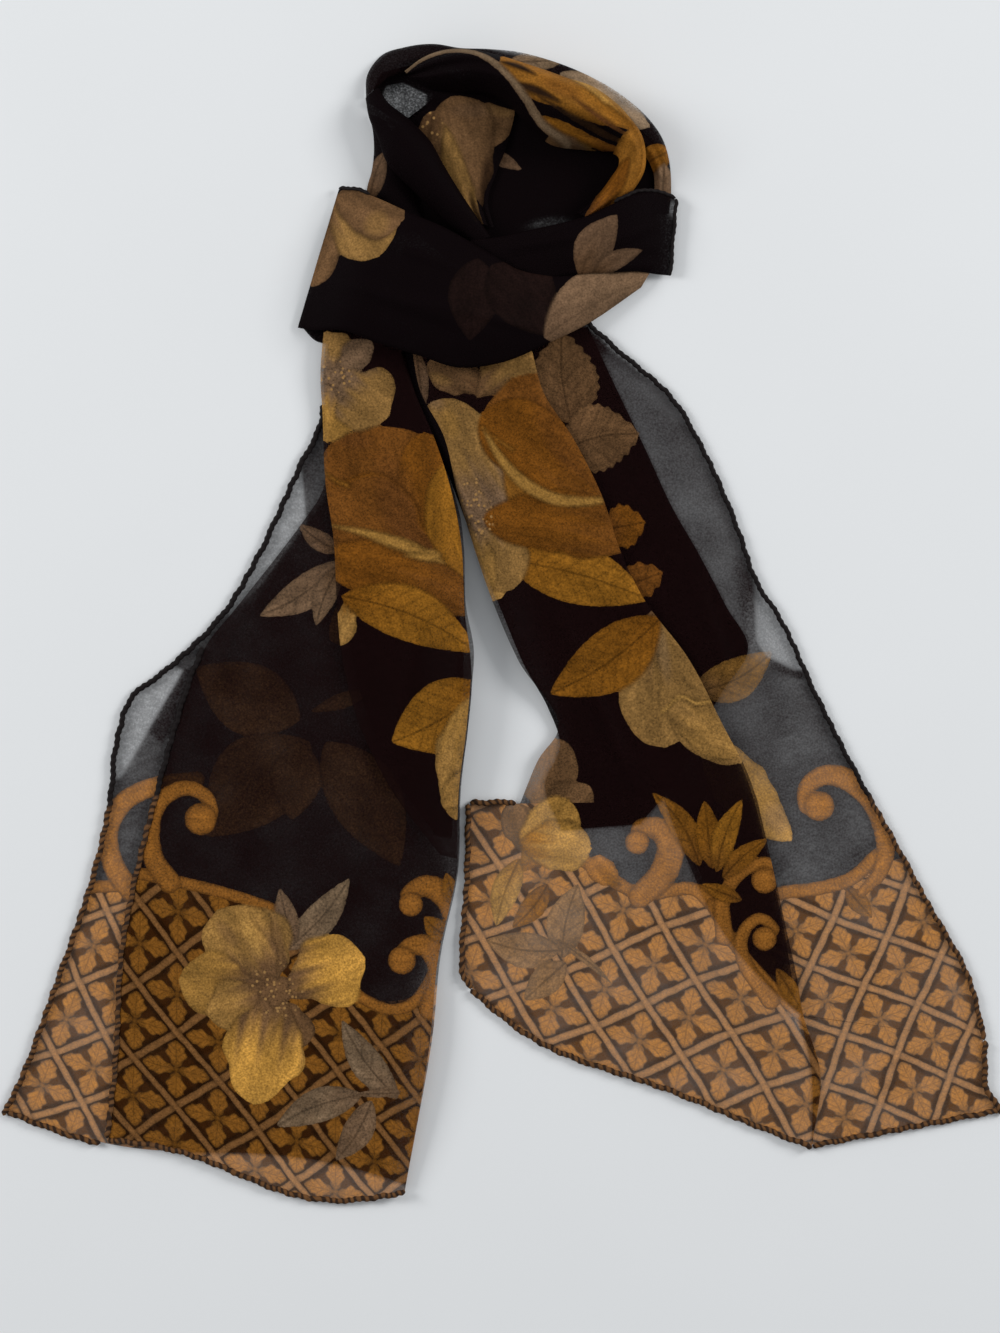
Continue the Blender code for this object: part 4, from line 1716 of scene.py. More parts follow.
@dataclass
class LeftTail(SubAssembly):
    """The tail that falls to the left: two wide layers, and the narrow panel folded over them."""

    side_lift: float = 10.5
    end_lift: float = 6.5
    trellis: Trellis = Trellis(
        (181, 953),
        (41, -28),
        (39.5, 49.5),
        (
            (100, 866), (137, 872), (185, 883), (229, 894), (274, 909), (322, 948),
            (355, 994), (388, 1012), (425, 983), (460, 950),
        ),
    )
    trellis_under: Trellis = Trellis(
        (83, 983),
        (51, -18),
        (25, 50.5),
        ((60, 884), (112, 884), (150, 890), (220, 900), (300, 940), (380, 1000), (440, 980), (470, 950)),
    )

    def layers(self) -> list[Stretch]:
        """The stretches, lowest first, with the right hand edge lifted clear of the table."""
        relief = (
            Crease((460, 350), (462, 900), 26, self.side_lift),
            Crease((455, 880), (412, 1220), 26, self.end_lift),
            Crease((330, 640), (262, 1100), 26, 0.9),
            Crease((262, 560), (170, 790), 8, 1.5),
            Crease((300, 600), (236, 900), 9, 1.3),
            Crease((372, 700), (330, 980), 10, 1.8),
            Crease((196, 900), (160, 1150), 7, 1.1),
            Crease((352, 990), (316, 1200), 8, 1.3),
            Crease((430, 560), (392, 760), 8, 1.2),
            Crease((92, 900), (52, 1110), 7, 1.3),
            Crease((300, 1120), (400, 1160), 6, 0.9),
        )
        return self.stacked([self.loop(), self.under(), self.over(), self.pleat(), self.panel()], relief)

    def loop(self) -> Stretch:
        """The back of the band, where it comes round to the table."""
        rows = (Laid(341, 198, 301, 326), Laid(347, 202, 318, 342), Laid(350, 206, 338, 343))
        return Stretch("band_back", "loop_back", rows, plies=3)

    def under(self) -> Stretch:
        """The lowest layer, widest to the left, its leaves seen through the layer above."""
        return Stretch(
            "left_under_sheet",
            "left_tail_under",
            (
                Laid(328, 320, 402, 336),
                Laid(324, 372, 414, 385),
                Laid(323, 421, 436, 440),
                Laid(301, 468, 456, 500),
                Laid(258, 560, 464, 548),
                Laid(222, 618, 466, 605),
                Laid(170, 669, 474, 652),
                Laid(132, 700, 472, 686),
                Laid(120, 735, 469, 720),
                Laid(111, 805, 461, 790),
                Laid(96, 872, 459, 862),
                Laid(56, 990, 440, 960),
                Laid(30, 1062, 432, 1040),
                Laid(8, 1110, 406, 1184),
            ),
            Waves(bow=5, sway=11),
            motifs=(
                Leaf((300, 720), (196, 668), 36, Ink.GHOST, 4, Ink.GHOST, veins=0.2),
                Leaf((310, 742), (206, 836), 44, Ink.GHOST, -8, Ink.GHOST, veins=0.2),
                Leaf((300, 742), (292, 820), 26, Ink.GHOST, 0, Ink.GHOST, veins=0.2),
                Leaf((326, 742), (400, 866), 36, Ink.GHOST, 6, Ink.GHOST, veins=0.2),
                Leaf((372, 690), (310, 712), 8, Ink.GHOST, 0, Ink.GHOST, veins=0),
                Leaf((330, 640), (392, 600), 26, Ink.GHOST, 0, Ink.GHOST, veins=0.2),
                Scroll(((50, 892), (112, 886), (150, 892), (200, 898), (260, 908)), 13, 12),
                Scroll(((132, 892), (114, 866), (108, 832), (124, 802), (156, 786), (196, 780)), 22, 18),
            ),
            trellis=self.trellis_under,
            thin=(
                # Painted light: these two windows open the cloth where the table is lit under the lifted
                # edge.
                Window(((301, 472), (305, 522), (262, 582), (230, 614), (222, 600), (288, 468)), 0.42),
                Window(((182, 671), (120, 777), (98, 777), (98, 690), (160, 660)), 0.42),
                # Painted shade: a denser strip in the shadow beside the fold.
                Window(((185, 671), (194, 671), (178, 724), (162, 740), (150, 730)), -0.16, 4.0),
            ),
            held=Held.LAID,
        )

    def over(self) -> Stretch:
        """The upper of the two wide layers, with the border, the open flower and its leaves."""
        return Stretch(
            "left_over_sheet",
            "left_tail_over",
            (
                Laid(330, 322, 401, 337),
                Laid(327, 372, 414, 386),
                Laid(327, 430, 436, 444),
                Laid(323, 490, 455, 504),
                Laid(300, 526, 462, 548),
                Laid(268, 568, 464, 580),
                Laid(233, 612, 466, 622),
                Laid(208, 643, 470, 650),
                Laid(196, 668, 472, 676),
                Laid(178, 722, 468, 730),
                Laid(158, 795, 460, 790),
                Laid(141, 861, 458, 862),
                Laid(123, 955, 438, 960),
                Laid(118, 1050, 430, 1042),
                Laid(109, 1138, 405, 1190),
            ),
            Waves(bow=15, sway=-11),
            motifs=(
                Leaf((340, 562), (260, 616), 17, Ink.TAUPE, 6, Ink.TAUPE_DEEP),
                Leaf((342, 552), (299, 524), 10, Ink.TAUPE_DEEP, 3, Ink.TAUPE_DARK),
                Leaf((340, 566), (316, 626), 12, Ink.TAUPE, -3, Ink.TAUPE_DARK),
                Scroll(((90, 868), (137, 873), (185, 883), (229, 894), (276, 910), (300, 928)), 13, 11),
                Scroll(((338, 968), (355, 992), (388, 1009), (416, 1000), (440, 962)), 11, 12),
                Scroll(
                    (
                        (170, 882), (154, 858), (151, 828), (160, 802), (184, 788), (206, 796),
                        (212, 814), (201, 819),
                    ),
                    22, 12, 16,
                ),
                Scroll(
                    ((430, 1008), (441, 980), (438, 958), (424, 945), (407, 948), (402, 960)),
                    22, 13, 14, swell=8,
                ),
                Scroll(
                    ((456, 950), (458, 924), (448, 898), (428, 886), (410, 893), (411, 904)),
                    22, 14, 12, swell=8,
                ),
                Leaf((452, 936), (424, 916), 11, Ink.AMBER, 3, Ink.SCROLL_DEEP),
                Leaf((456, 906), (446, 872), 9, Ink.AMBER, 0, Ink.SCROLL_DEEP),
                Leaf((286, 950), (350, 878), 16, Ink.TAUPE_LIGHT, -5, Ink.TAUPE),
                Leaf((296, 940), (280, 888), 11, Ink.TAUPE, 2, Ink.TAUPE_DEEP),
                Petal((280, 996), (306, 1046), 17, Ink.TAUPE_BROWN, Ink.HEART, frill=4),
                Bloom(
                    (276, 990),
                    (
                        PetalCut(262, 84, 24, Ink.WHEAT),
                        PetalCut(234, 100, 37, Ink.SAND),
                        PetalCut(186, 96, 33, Ink.HONEY, 0.70),
                        PetalCut(160, 72, 26, Ink.SAND),
                        PetalCut(-20, 94, 38, Ink.BRIGHT, 0.64),
                        PetalCut(101, 116, 40, Ink.BRIGHT, 0.52, 0.66),
                    ),
                    Ink.PALE,
                    Ink.HEART,
                    15,
                    heart_share=0.66,
                ),
                Wash((276, 940), (9, 32), -6, Ink.HEART, 0.6),
                Wash((228, 934), (9, 22), -40, Ink.HEART, 0.5),
                Wash((252, 938), (9, 30), -24, Ink.PALE, 0.6),
                Leaf((398, 1098), (342, 1020), 16, Ink.TAUPE_LIGHT, 5, Ink.TAUPE),
                Leaf((362, 1094), (276, 1126), 17, Ink.TAUPE_LIGHT, -5, Ink.TAUPE),
                Leaf((372, 1100), (336, 1160), 15, Ink.TAUPE, 4, Ink.TAUPE),
                Leaf((404, 1092), (352, 1094), 4, Ink.TAUPE, 0, Ink.TAUPE),
            ),
            trellis=self.trellis,
            turned=(Edge.LEFT, Edge.RIGHT),
            held=Held.LAID,
        )

    def pleat(self) -> Stretch:
        """The layer that shows as a narrow dark margin inside the panel."""
        return Stretch(
            "left_pleat_sheet",
            "left_tail_pleat",
            (
                Laid(331, 326, 397, 340),
                Laid(329, 416, 428, 436),
                Laid(334, 500, 451, 506),
                Laid(343, 600, 460, 610),
                Laid(352, 655, 464, 662),
                Laid(368, 715, 460, 720),
                Laid(402, 785, 454, 785),
                Laid(436, 836, 452, 838),
            ),
            turned=(Edge.LEFT, Edge.RIGHT),
            plies=1.8,
        )

    def panel(self) -> Stretch:
        """The narrow panel on top: flowers and leaves from the band down to its point."""
        return Stretch(
            "left_panel_sheet",
            "left_tail_panel",
            (
                Laid(325, 324, 400, 339),
                Laid(321, 373, 413, 387),
                Laid(323, 416, 435, 440),
                Laid(326, 485, 454, 502),
                Laid(334, 540, 462, 548),
                Laid(337, 600, 465, 612),
                Laid(342, 655, 471, 662),
                Laid(358, 720, 467, 725),
                Laid(392, 790, 459, 790),
                Laid(440, 854, 457, 858),
            ),
            motifs=(
                Leaf((484, 686), (392, 742), 36, Ink.LEAF_GOLD, 6, Ink.LEAF_DEEP),
                Petal((474, 696), (456, 818), 26, Ink.SAND, Ink.HONEY, bend=-3, widest=0.5),
                Petal((474, 770), (444, 806), 14, Ink.SAND, Ink.WHEAT, widest=0.5),
                Petal((400, 600), (372, 426), 62, Ink.ROSE, Ink.ROSE_DEEP, frill=5, widest=0.7),
                Petal((440, 600), (424, 434), 34, Ink.ROSE_LIT, Ink.ROSE, frill=3),
                Petal((446, 596), (326, 492), 48, Ink.ROSE, Ink.ROSE_DEEP, Ink.ROSE_LIT, bend=-6),
                Petal((472, 624), (446, 466), 25, Ink.LEAF_GOLD, Ink.AMBER_LIGHT, bend=4),
                Wash((398, 502), (26, 62), -14, Ink.ROSE_DEEP, 0.55),
                Wash((352, 440), (26, 12), 10, Ink.ROSE_DEEP, 0.45),
                Petal((482, 608), (316, 556), 31, Ink.ROSE_LIT, Ink.ROSE, bend=-9, widest=0.5),
                Petal((320, 524), (446, 564), 6.5, Ink.HONEY, Ink.HONEY, bend=5, frill=5, roundness=0.8),
                Petal((404, 556), (442, 556), 6, Ink.HONEY, Ink.HONEY, frill=5, roundness=0.7),
                Scroll(((322, 470), (334, 480), (348, 486)), 3, 5, 0, Ink.AMBER_LIGHT, Ink.AMBER, 0),
                Petal((352, 590), (338, 646), 12, Ink.SAND, Ink.AMBER, bend=2),
                Leaf((342, 596), (478, 652), 27, Ink.LEAF_GOLD, 9, Ink.LEAF_DEEP),
                Bloom(
                    (334, 378),
                    (
                        PetalCut(-98, 46, 24, None, 0.6, 0.6),
                        PetalCut(-44, 52, 15, Ink.TAUPE),
                        PetalCut(170, 40, 20),
                        PetalCut(96, 64, 27, Ink.HONEY, 0.62, 0.5),
                        PetalCut(34, 66, 34, Ink.WHEAT, 0.62, 0.5),
                    ),
                    Ink.WHEAT,
                    Ink.TAUPE,
                    10,
                    heart_share=0.55,
                ),
            ),
            turned=(Edge.LEFT, Edge.RIGHT),
            creases=(
                Crease((340, 344), (352, 560), 8, 0.8),
                Crease((392, 350), (424, 600), 9, 0.9),
                Crease((360, 600), (430, 800), 10, 0.8),
                Crease((330, 500), (450, 560), 6, 0.5),
            ),
        )

    def hems(self) -> dict[str, list[RolledHem]]:
        """The rolled hems down the left sides and across the ends."""
        return {
            "left_under_sheet": [
                RolledHem("left_under_side", Edge.LEFT, 0.10, 1.0, 0.58, 2.0, 3.0),
                RolledHem("left_under_end", Edge.END, 0.0, 0.24, -1.0, 2.0),
            ],
            "left_over_sheet": [
                RolledHem("left_over_side", Edge.LEFT, 0.40, 1.0, 0.30, 2.0),
                RolledHem("left_over_end", Edge.END, 0.0, 1.0, -1.0, 2.0),
            ],
        }


@dataclass
class RightTail(SubAssembly):
    """The tail that falls to the right: a wide sheer layer, a narrow front over it, and a broad end."""

    side_lift: float = 8.0
    trellis_back: Trellis = Trellis(
        (866, 988),
        (53, 21),
        (-20, 49),
        ((690, 940), (740, 905), (782, 893), (830, 880), (870, 868), (925, 850)),
    )
    crossing: tuple = (
        Leaf((700, 866), (652, 792), 13, Ink.AMBER, -7, Ink.SCROLL_DEEP),
        Leaf((712, 868), (704, 800), 13, Ink.LEAF_BROWN, 0, Ink.SCROLL_DEEP),
        Leaf((716, 872), (742, 798), 12, Ink.LEAF_GOLD, 4, Ink.SCROLL_DEEP),
        Leaf((722, 878), (768, 838), 10, Ink.AMBER, 3, Ink.SCROLL_DEEP),
        Petal((540, 868), (510, 802), 18, Ink.BRONZE, Ink.TAUPE_BROWN),
        Petal((522, 874), (568, 800), 27, Ink.HONEY, Ink.LEAF_GOLD, roundness=0.5),
        Petal((516, 842), (590, 848), 27, Ink.HONEY, Ink.LEAF_GOLD, roundness=0.5),
        Wash((536, 868), (18, 9), 20, Ink.ROSE_DEEP, 0.6),
        Wash((566, 836), (12, 14), 0, Ink.BRIGHT, 0.5),
    )
    trellis_end: Trellis = Trellis(
        (617, 950),
        (51, -21),
        (33, 53.5),
        (
            (556, 780), (572, 820), (585, 862), (640, 893), (690, 890), (712, 905),
            (735, 945), (770, 985), (800, 1014), (840, 1050),
        ),
    )

    def layers(self) -> list[Stretch]:
        """The stretches, lowest first."""
        relief = (
            Crease((420, 330), (560, 790), 24, self.side_lift),
            Crease((560, 720), (462, 960), 18, 1.6),
            Crease((640, 470), (800, 860), 26, 0.8),
            Crease((552, 600), (640, 800), 8, 1.8),
            Crease((520, 430), (580, 600), 9, 1.2),
            Crease((688, 560), (772, 800), 8, 1.7),
            Crease((650, 400), (734, 600), 7, 1.5),
            Crease((742, 590), (800, 720), 6, 1.3),
            Crease((800, 700), (850, 880), 8, 1.4),
            Crease((640, 800), (744, 1020), 8, 1.7),
            Crease((560, 900), (616, 1040), 7, 1.2),
            Crease((490, 840), (496, 970), 6, 1.0),
            Crease((664, 930), (708, 1090), 7, 1.3),
            Crease((834, 1090), (932, 1040), 4.5, 1.5),
            Crease((840, 1118), (912, 1062), 4, 1.3),
            Crease((880, 900), (944, 1010), 6, 1.2),
            Crease((768, 1040), (792, 1130), 5, 1.0),
        )
        stretches = [self.turned(), self.back(), self.corner(), self.pleat(), self.front(), self.end()]
        return self.stacked(stretches, relief)

    def turned(self) -> Stretch:
        """The lowest layer, between the front and the sheer side, down to the crossing."""
        return Stretch(
            "right_turned_sheet",
            "right_tail_turned",
            (
                Laid(398, 350, 588, 327),
                Laid(420, 410, 617, 390),
                Laid(436, 445, 642, 442),
                Laid(456, 495, 671, 505),
                Laid(480, 560, 700, 556),
                Laid(501, 610, 726, 606),
                Laid(524, 665, 748, 650),
                Laid(548, 708, 722, 692),
                Laid(560, 745, 700, 732),
                Laid(545, 785, 676, 780),
                Laid(562, 830, 640, 824),
            ),
            turned=(Edge.LEFT, Edge.RIGHT),
            plies=3,
        )

    def back(self) -> Stretch:
        """The wide sheer layer, its hem down the right."""
        return Stretch(
            "right_back_sheet",
            "right_tail_back",
            (
                Laid(508, 349, 584, 322),
                Laid(514, 385, 622, 356),
                Laid(524, 430, 668, 396),
                Laid(538, 490, 702, 451),
                Laid(556, 560, 738, 534),
                Laid(568, 594, 754, 580),
                Laid(582, 630, 779, 620),
                Laid(617, 710, 812, 690),
                Laid(656, 780, 850, 765),
                Laid(683, 850, 893, 842),
                Laid(713, 915, 926, 903),
                Laid(758, 975, 968, 980),
                Laid(803, 1016, 983, 1040),
            ),
            motifs=(
                Leaf((572, 424), (562, 332), 36, Ink.TAUPE_BROWN, 5, Ink.TAUPE_DARK, 9),
                Leaf((560, 452), (640, 434), 34, Ink.TAUPE_BROWN, 6, Ink.TAUPE_DARK, 9),
                Leaf((604, 530), (646, 522), 22, Ink.ROSE_LIT, 0, Ink.ROSE_DEEP, 5),
                Leaf((620, 588), (664, 572), 18, Ink.ROSE, 0, Ink.ROSE_DEEP, 4),
                Leaf((692, 692), (772, 652), 21, Ink.OLIVE, -8, Ink.TAUPE_DARK),
                Petal((706, 728), (791, 840), 28, Ink.HONEY, Ink.SAND, bend=-9, widest=0.52, roundness=0.72),
                Wash((776, 818), (16, 22), -34, Ink.TAUPE, 0.5),
                Leaf((846, 888), (872, 918), 10, Ink.AMBER, 0, Ink.SCROLL_DEEP),
                Scroll(((700, 940), (740, 906), (782, 893), (820, 888), (852, 878), (876, 856)), 13, 14),
                Scroll(
                    (
                        (862, 892), (880, 872), (886, 842), (876, 806), (852, 782), (826, 775), (807, 787),
                        (806, 807), (819, 806),
                    ),
                    10, 11, 15, swell=13,
                ),
            ),
            trellis=self.trellis_back,
            thin=(
                Thin((672, 402), (20, 44), -52, 0.08, 0.6),
                # Painted light: this window opens the cloth where the table is lit under the lifted edge.
                Window(
                    ((755, 584), (757, 640), (768, 656), (794, 669), (812, 669), (792, 590), (757, 576)),
                    0.42,
                ),
                # Painted shade: the three patches below zero are denser strips in shadow, beside the window
                # and under the band's edge.
                Window(((736, 560), (754, 560), (755, 640), (747, 640)), -0.10, 6.0),
                Window(((770, 659), (798, 671), (800, 677), (768, 665)), -0.16, 4.0),
                Window(((560, 322), (590, 322), (604, 350), (598, 356), (560, 350)), -0.25, 6.0),
            ),
            turned=(Edge.LEFT,),
            held=Held.LAID,
        )

    def corner(self) -> Stretch:
        """The corner of the tail, all border."""
        return Stretch(
            "right_corner_sheet",
            "right_tail_corner",
            (Laid(800, 1015, 983, 1040), Laid(812, 1078, 985, 1088), Laid(812, 1144, 998, 1109)),
            trellis=self.trellis_back,
            joins=("right_back_sheet",),
            held=Held.LAID,
        )

    def pleat(self) -> Stretch:
        """The dark fold beside the front."""
        return Stretch(
            "right_pleat_sheet",
            "right_tail_pleat",
            (
                Laid(513, 350, 526, 352),
                Laid(528, 430, 558, 432),
                Laid(542, 490, 592, 488),
                Laid(562, 560, 616, 556),
                Laid(590, 635, 662, 636),
                Laid(622, 710, 714, 712),
                Laid(662, 785, 750, 788),
                Laid(690, 850, 768, 858),
                Laid(722, 918, 783, 924),
                Laid(764, 972, 792, 980),
            ),
            turned=(Edge.RIGHT,),
        )

    def front(self) -> Stretch:
        """The narrow front: the rose, the veined leaves and the fan of pale petals."""
        return Stretch(
            "right_front_sheet",
            "right_tail_front",
            (
                Laid(412, 350, 532, 352),
                Laid(420, 390, 543, 392),
                Laid(444, 437, 572, 437),
                Laid(457, 491, 600, 492),
                Laid(478, 560, 623, 558),
                Laid(492, 600, 643, 598),
                Laid(518, 660, 687, 657),
                Laid(558, 730, 724, 728),
                Laid(538, 760, 745, 768),
                Laid(520, 803.5, 757, 800),
            ),
            motifs=(
                Petal((556, 840), (552, 738), 28, Ink.TAUPE_BROWN, Ink.BRONZE, bend=4),
                Petal((524, 850), (590, 786), 24, Ink.BRONZE, Ink.TAUPE_BROWN),
                Petal((656, 604), (664, 746), 40, Ink.WHEAT, Ink.BRONZE, bend=-4, widest=0.64, roundness=0.5),
                Petal((654, 606), (740, 762), 44, Ink.WHEAT, Ink.WHEAT, widest=0.68, roundness=0.5),
                Petal((664, 700), (742, 752), 24, Ink.SAND, Ink.WHEAT, widest=0.6, roundness=0.5),
                Wash((662, 652), (9, 40), -10, Ink.TAUPE_LIGHT, 0.4),
                Scroll(((662, 712), (680, 697), (696, 703), (716, 700)), 3, 4, 0, Ink.PALE, Ink.SAND, 0),
                Leaf((660, 618), (550, 694), 31, Ink.LEAF_BROWN, 7, Ink.LEAF_DEEP),
                Leaf((508, 560), (650, 600), 30, Ink.LEAF_GOLD, 5, Ink.LEAF_BROWN),
                Petal((476, 560), (502, 598), 22, Ink.SAND, Ink.WHEAT, widest=0.5),
                Petal((590, 560), (474, 420), 40, Ink.AMBER_LIGHT, Ink.ROSE_LIT, bend=-4),
                Petal((466, 500), (512, 590), 30, Ink.WHEAT, Ink.TAUPE, widest=0.7, roundness=0.5),
                Petal((452, 500), (478, 604), 28, Ink.SAND, Ink.TAUPE, widest=0.7, roundness=0.5),
                Petal((500, 530), (432, 402), 42, Ink.WHEAT, Ink.TAUPE, bend=4, widest=0.6, roundness=0.5),
                Wash((474, 508), (20, 44), -14, Ink.TAUPE, 0.65, 1.0),
                Wash((450, 424), (12, 20), -20, Ink.HONEY, 0.5),
                Wash((430, 398), (22, 12), 40, Ink.TAUPE, 0.6),
                Petal((492, 396), (428, 364), 22, Ink.BRONZE, Ink.TAUPE_DARK, bend=-4),
                Petal((476, 398), (534, 350), 28, Ink.WHEAT, Ink.TAUPE_BROWN, bend=6),
                Wash((440, 380), (16, 8), 20, Ink.WHEAT, 0.5),
                Leaf((416, 350), (424, 412), 9, Ink.TAUPE_DEEP, 0, Ink.TAUPE_DARK),
                Petal((576, 520), (512, 378), 48, Ink.ROSE, Ink.ROSE_DEEP, frill=5),
                Petal((620, 520), (482, 414), 40, Ink.ROSE_LIT, Ink.ROSE, bend=-6),
                Petal((640, 540), (484, 518), 32, Ink.ROSE_LIT, Ink.ROSE, bend=-6, widest=0.5),
                Wash((560, 440), (20, 58), -30, Ink.ROSE_DEEP, 0.4),
                Scroll(
                    ((484, 430), (500, 458), (522, 482), (550, 498), (578, 502), (600, 501)), 3, 7, 0,
                    Ink.HONEY, Ink.HONEY, 0, 7,
                ),
                Scroll(((482, 428), (494, 438), (512, 450)), 3, 4, 0, Ink.AMBER_LIGHT, Ink.AMBER, 0),
                *self.crossing,
            ),
            turned=(Edge.LEFT, Edge.RIGHT),
        )

    def end(self) -> Stretch:
        """The broad end, laid across the wide layer: border, flower and grey leaves."""
        return Stretch(
            "right_end_sheet",
            "right_tail_end",
            (
                Laid(470, 804, 757, 800),
                Laid(469, 840, 773, 870),
                Laid(468, 885, 785, 925),
                Laid(465, 925, 796, 975),
                Laid(463, 956, 803, 1016),
                Laid(464, 972, 820, 1072),
                Laid(472, 988, 812, 1145),
            ),
            Waves(bow=15, sway=7, ripple=3),
            motifs=(
                Scroll(((586, 862), (612, 880), (644, 894), (690, 888), (712, 905)), 14, 13),
                Scroll(((712, 905), (735, 945), (770, 985), (806, 1022)), 13, 11),
                Scroll(
                    ((640, 896), (662, 874), (670, 848), (660, 830), (642, 828), (637, 842)),
                    24, 15, 12, swell=8,
                ),
                Petal((622, 886), (588, 860), 14, Ink.SCROLL, Ink.AMBER),
                Scroll(((724, 936), (722, 902), (738, 874), (764, 862), (776, 872), (764, 880)), 18, 10, 13),
                Scroll(((770, 1000), (744, 962), (742, 934), (758, 918), (774, 928), (764, 938)), 18, 9, 12),
                Leaf((776, 968), (804, 1014), 9, Ink.AMBER, 0, Ink.SCROLL_DEEP),
                Leaf((742, 900), (700, 884), 8, Ink.AMBER, 0, Ink.SCROLL_DEEP),
                Leaf((520, 858), (496, 926), 14, Ink.HONEY, -3, Ink.AMBER),
                Leaf((548, 884), (512, 928), 12, Ink.AMBER, 3, Ink.SCROLL_DEEP),
                *self.crossing,
                Leaf((562, 958), (578, 884), 19, Ink.ASH, 4, Ink.ASH_DEEP),
                Leaf((560, 950), (486, 940), 18, Ink.ASH, 5, Ink.ASH_DEEP),
                Leaf((566, 962), (524, 1000), 15, Ink.ASH, 0, Ink.ASH_DEEP),
                Leaf((556, 940), (612, 984), 4, Ink.ASH, 3, Ink.ASH_DEEP),
            ),
            trellis=self.trellis_end,
            joins=("right_front_sheet",),
            turned=(Edge.RIGHT,),
            held=Held.LAID,
        )

    def hems(self) -> dict[str, list[RolledHem]]:
        """The rolled hems down the right and round the broad end."""
        return {
            "right_back_sheet": [
                RolledHem("right_side", Edge.RIGHT, 0.0, 1.0, 0.67, 2.0, radius=1.1 * MM),
            ],
            "right_corner_sheet": [
                RolledHem("right_corner", Edge.RIGHT, 0.0, 1.0, -1.0, 2.0, 3.0),
                RolledHem("right_corner_end", Edge.END, 0.0, 1.0, -1.0, 2.0),
            ],
            "right_end_sheet": [
                RolledHem("right_end", Edge.END, 0.0, 1.0, -1.0, 2.0),
                RolledHem("right_end_side", Edge.LEFT, 0.0, 1.0, -1.0, 2.0),
                RolledHem("right_end_top", Edge.START, 0.0, 0.16, -1.0, 2.0),
            ],
        }


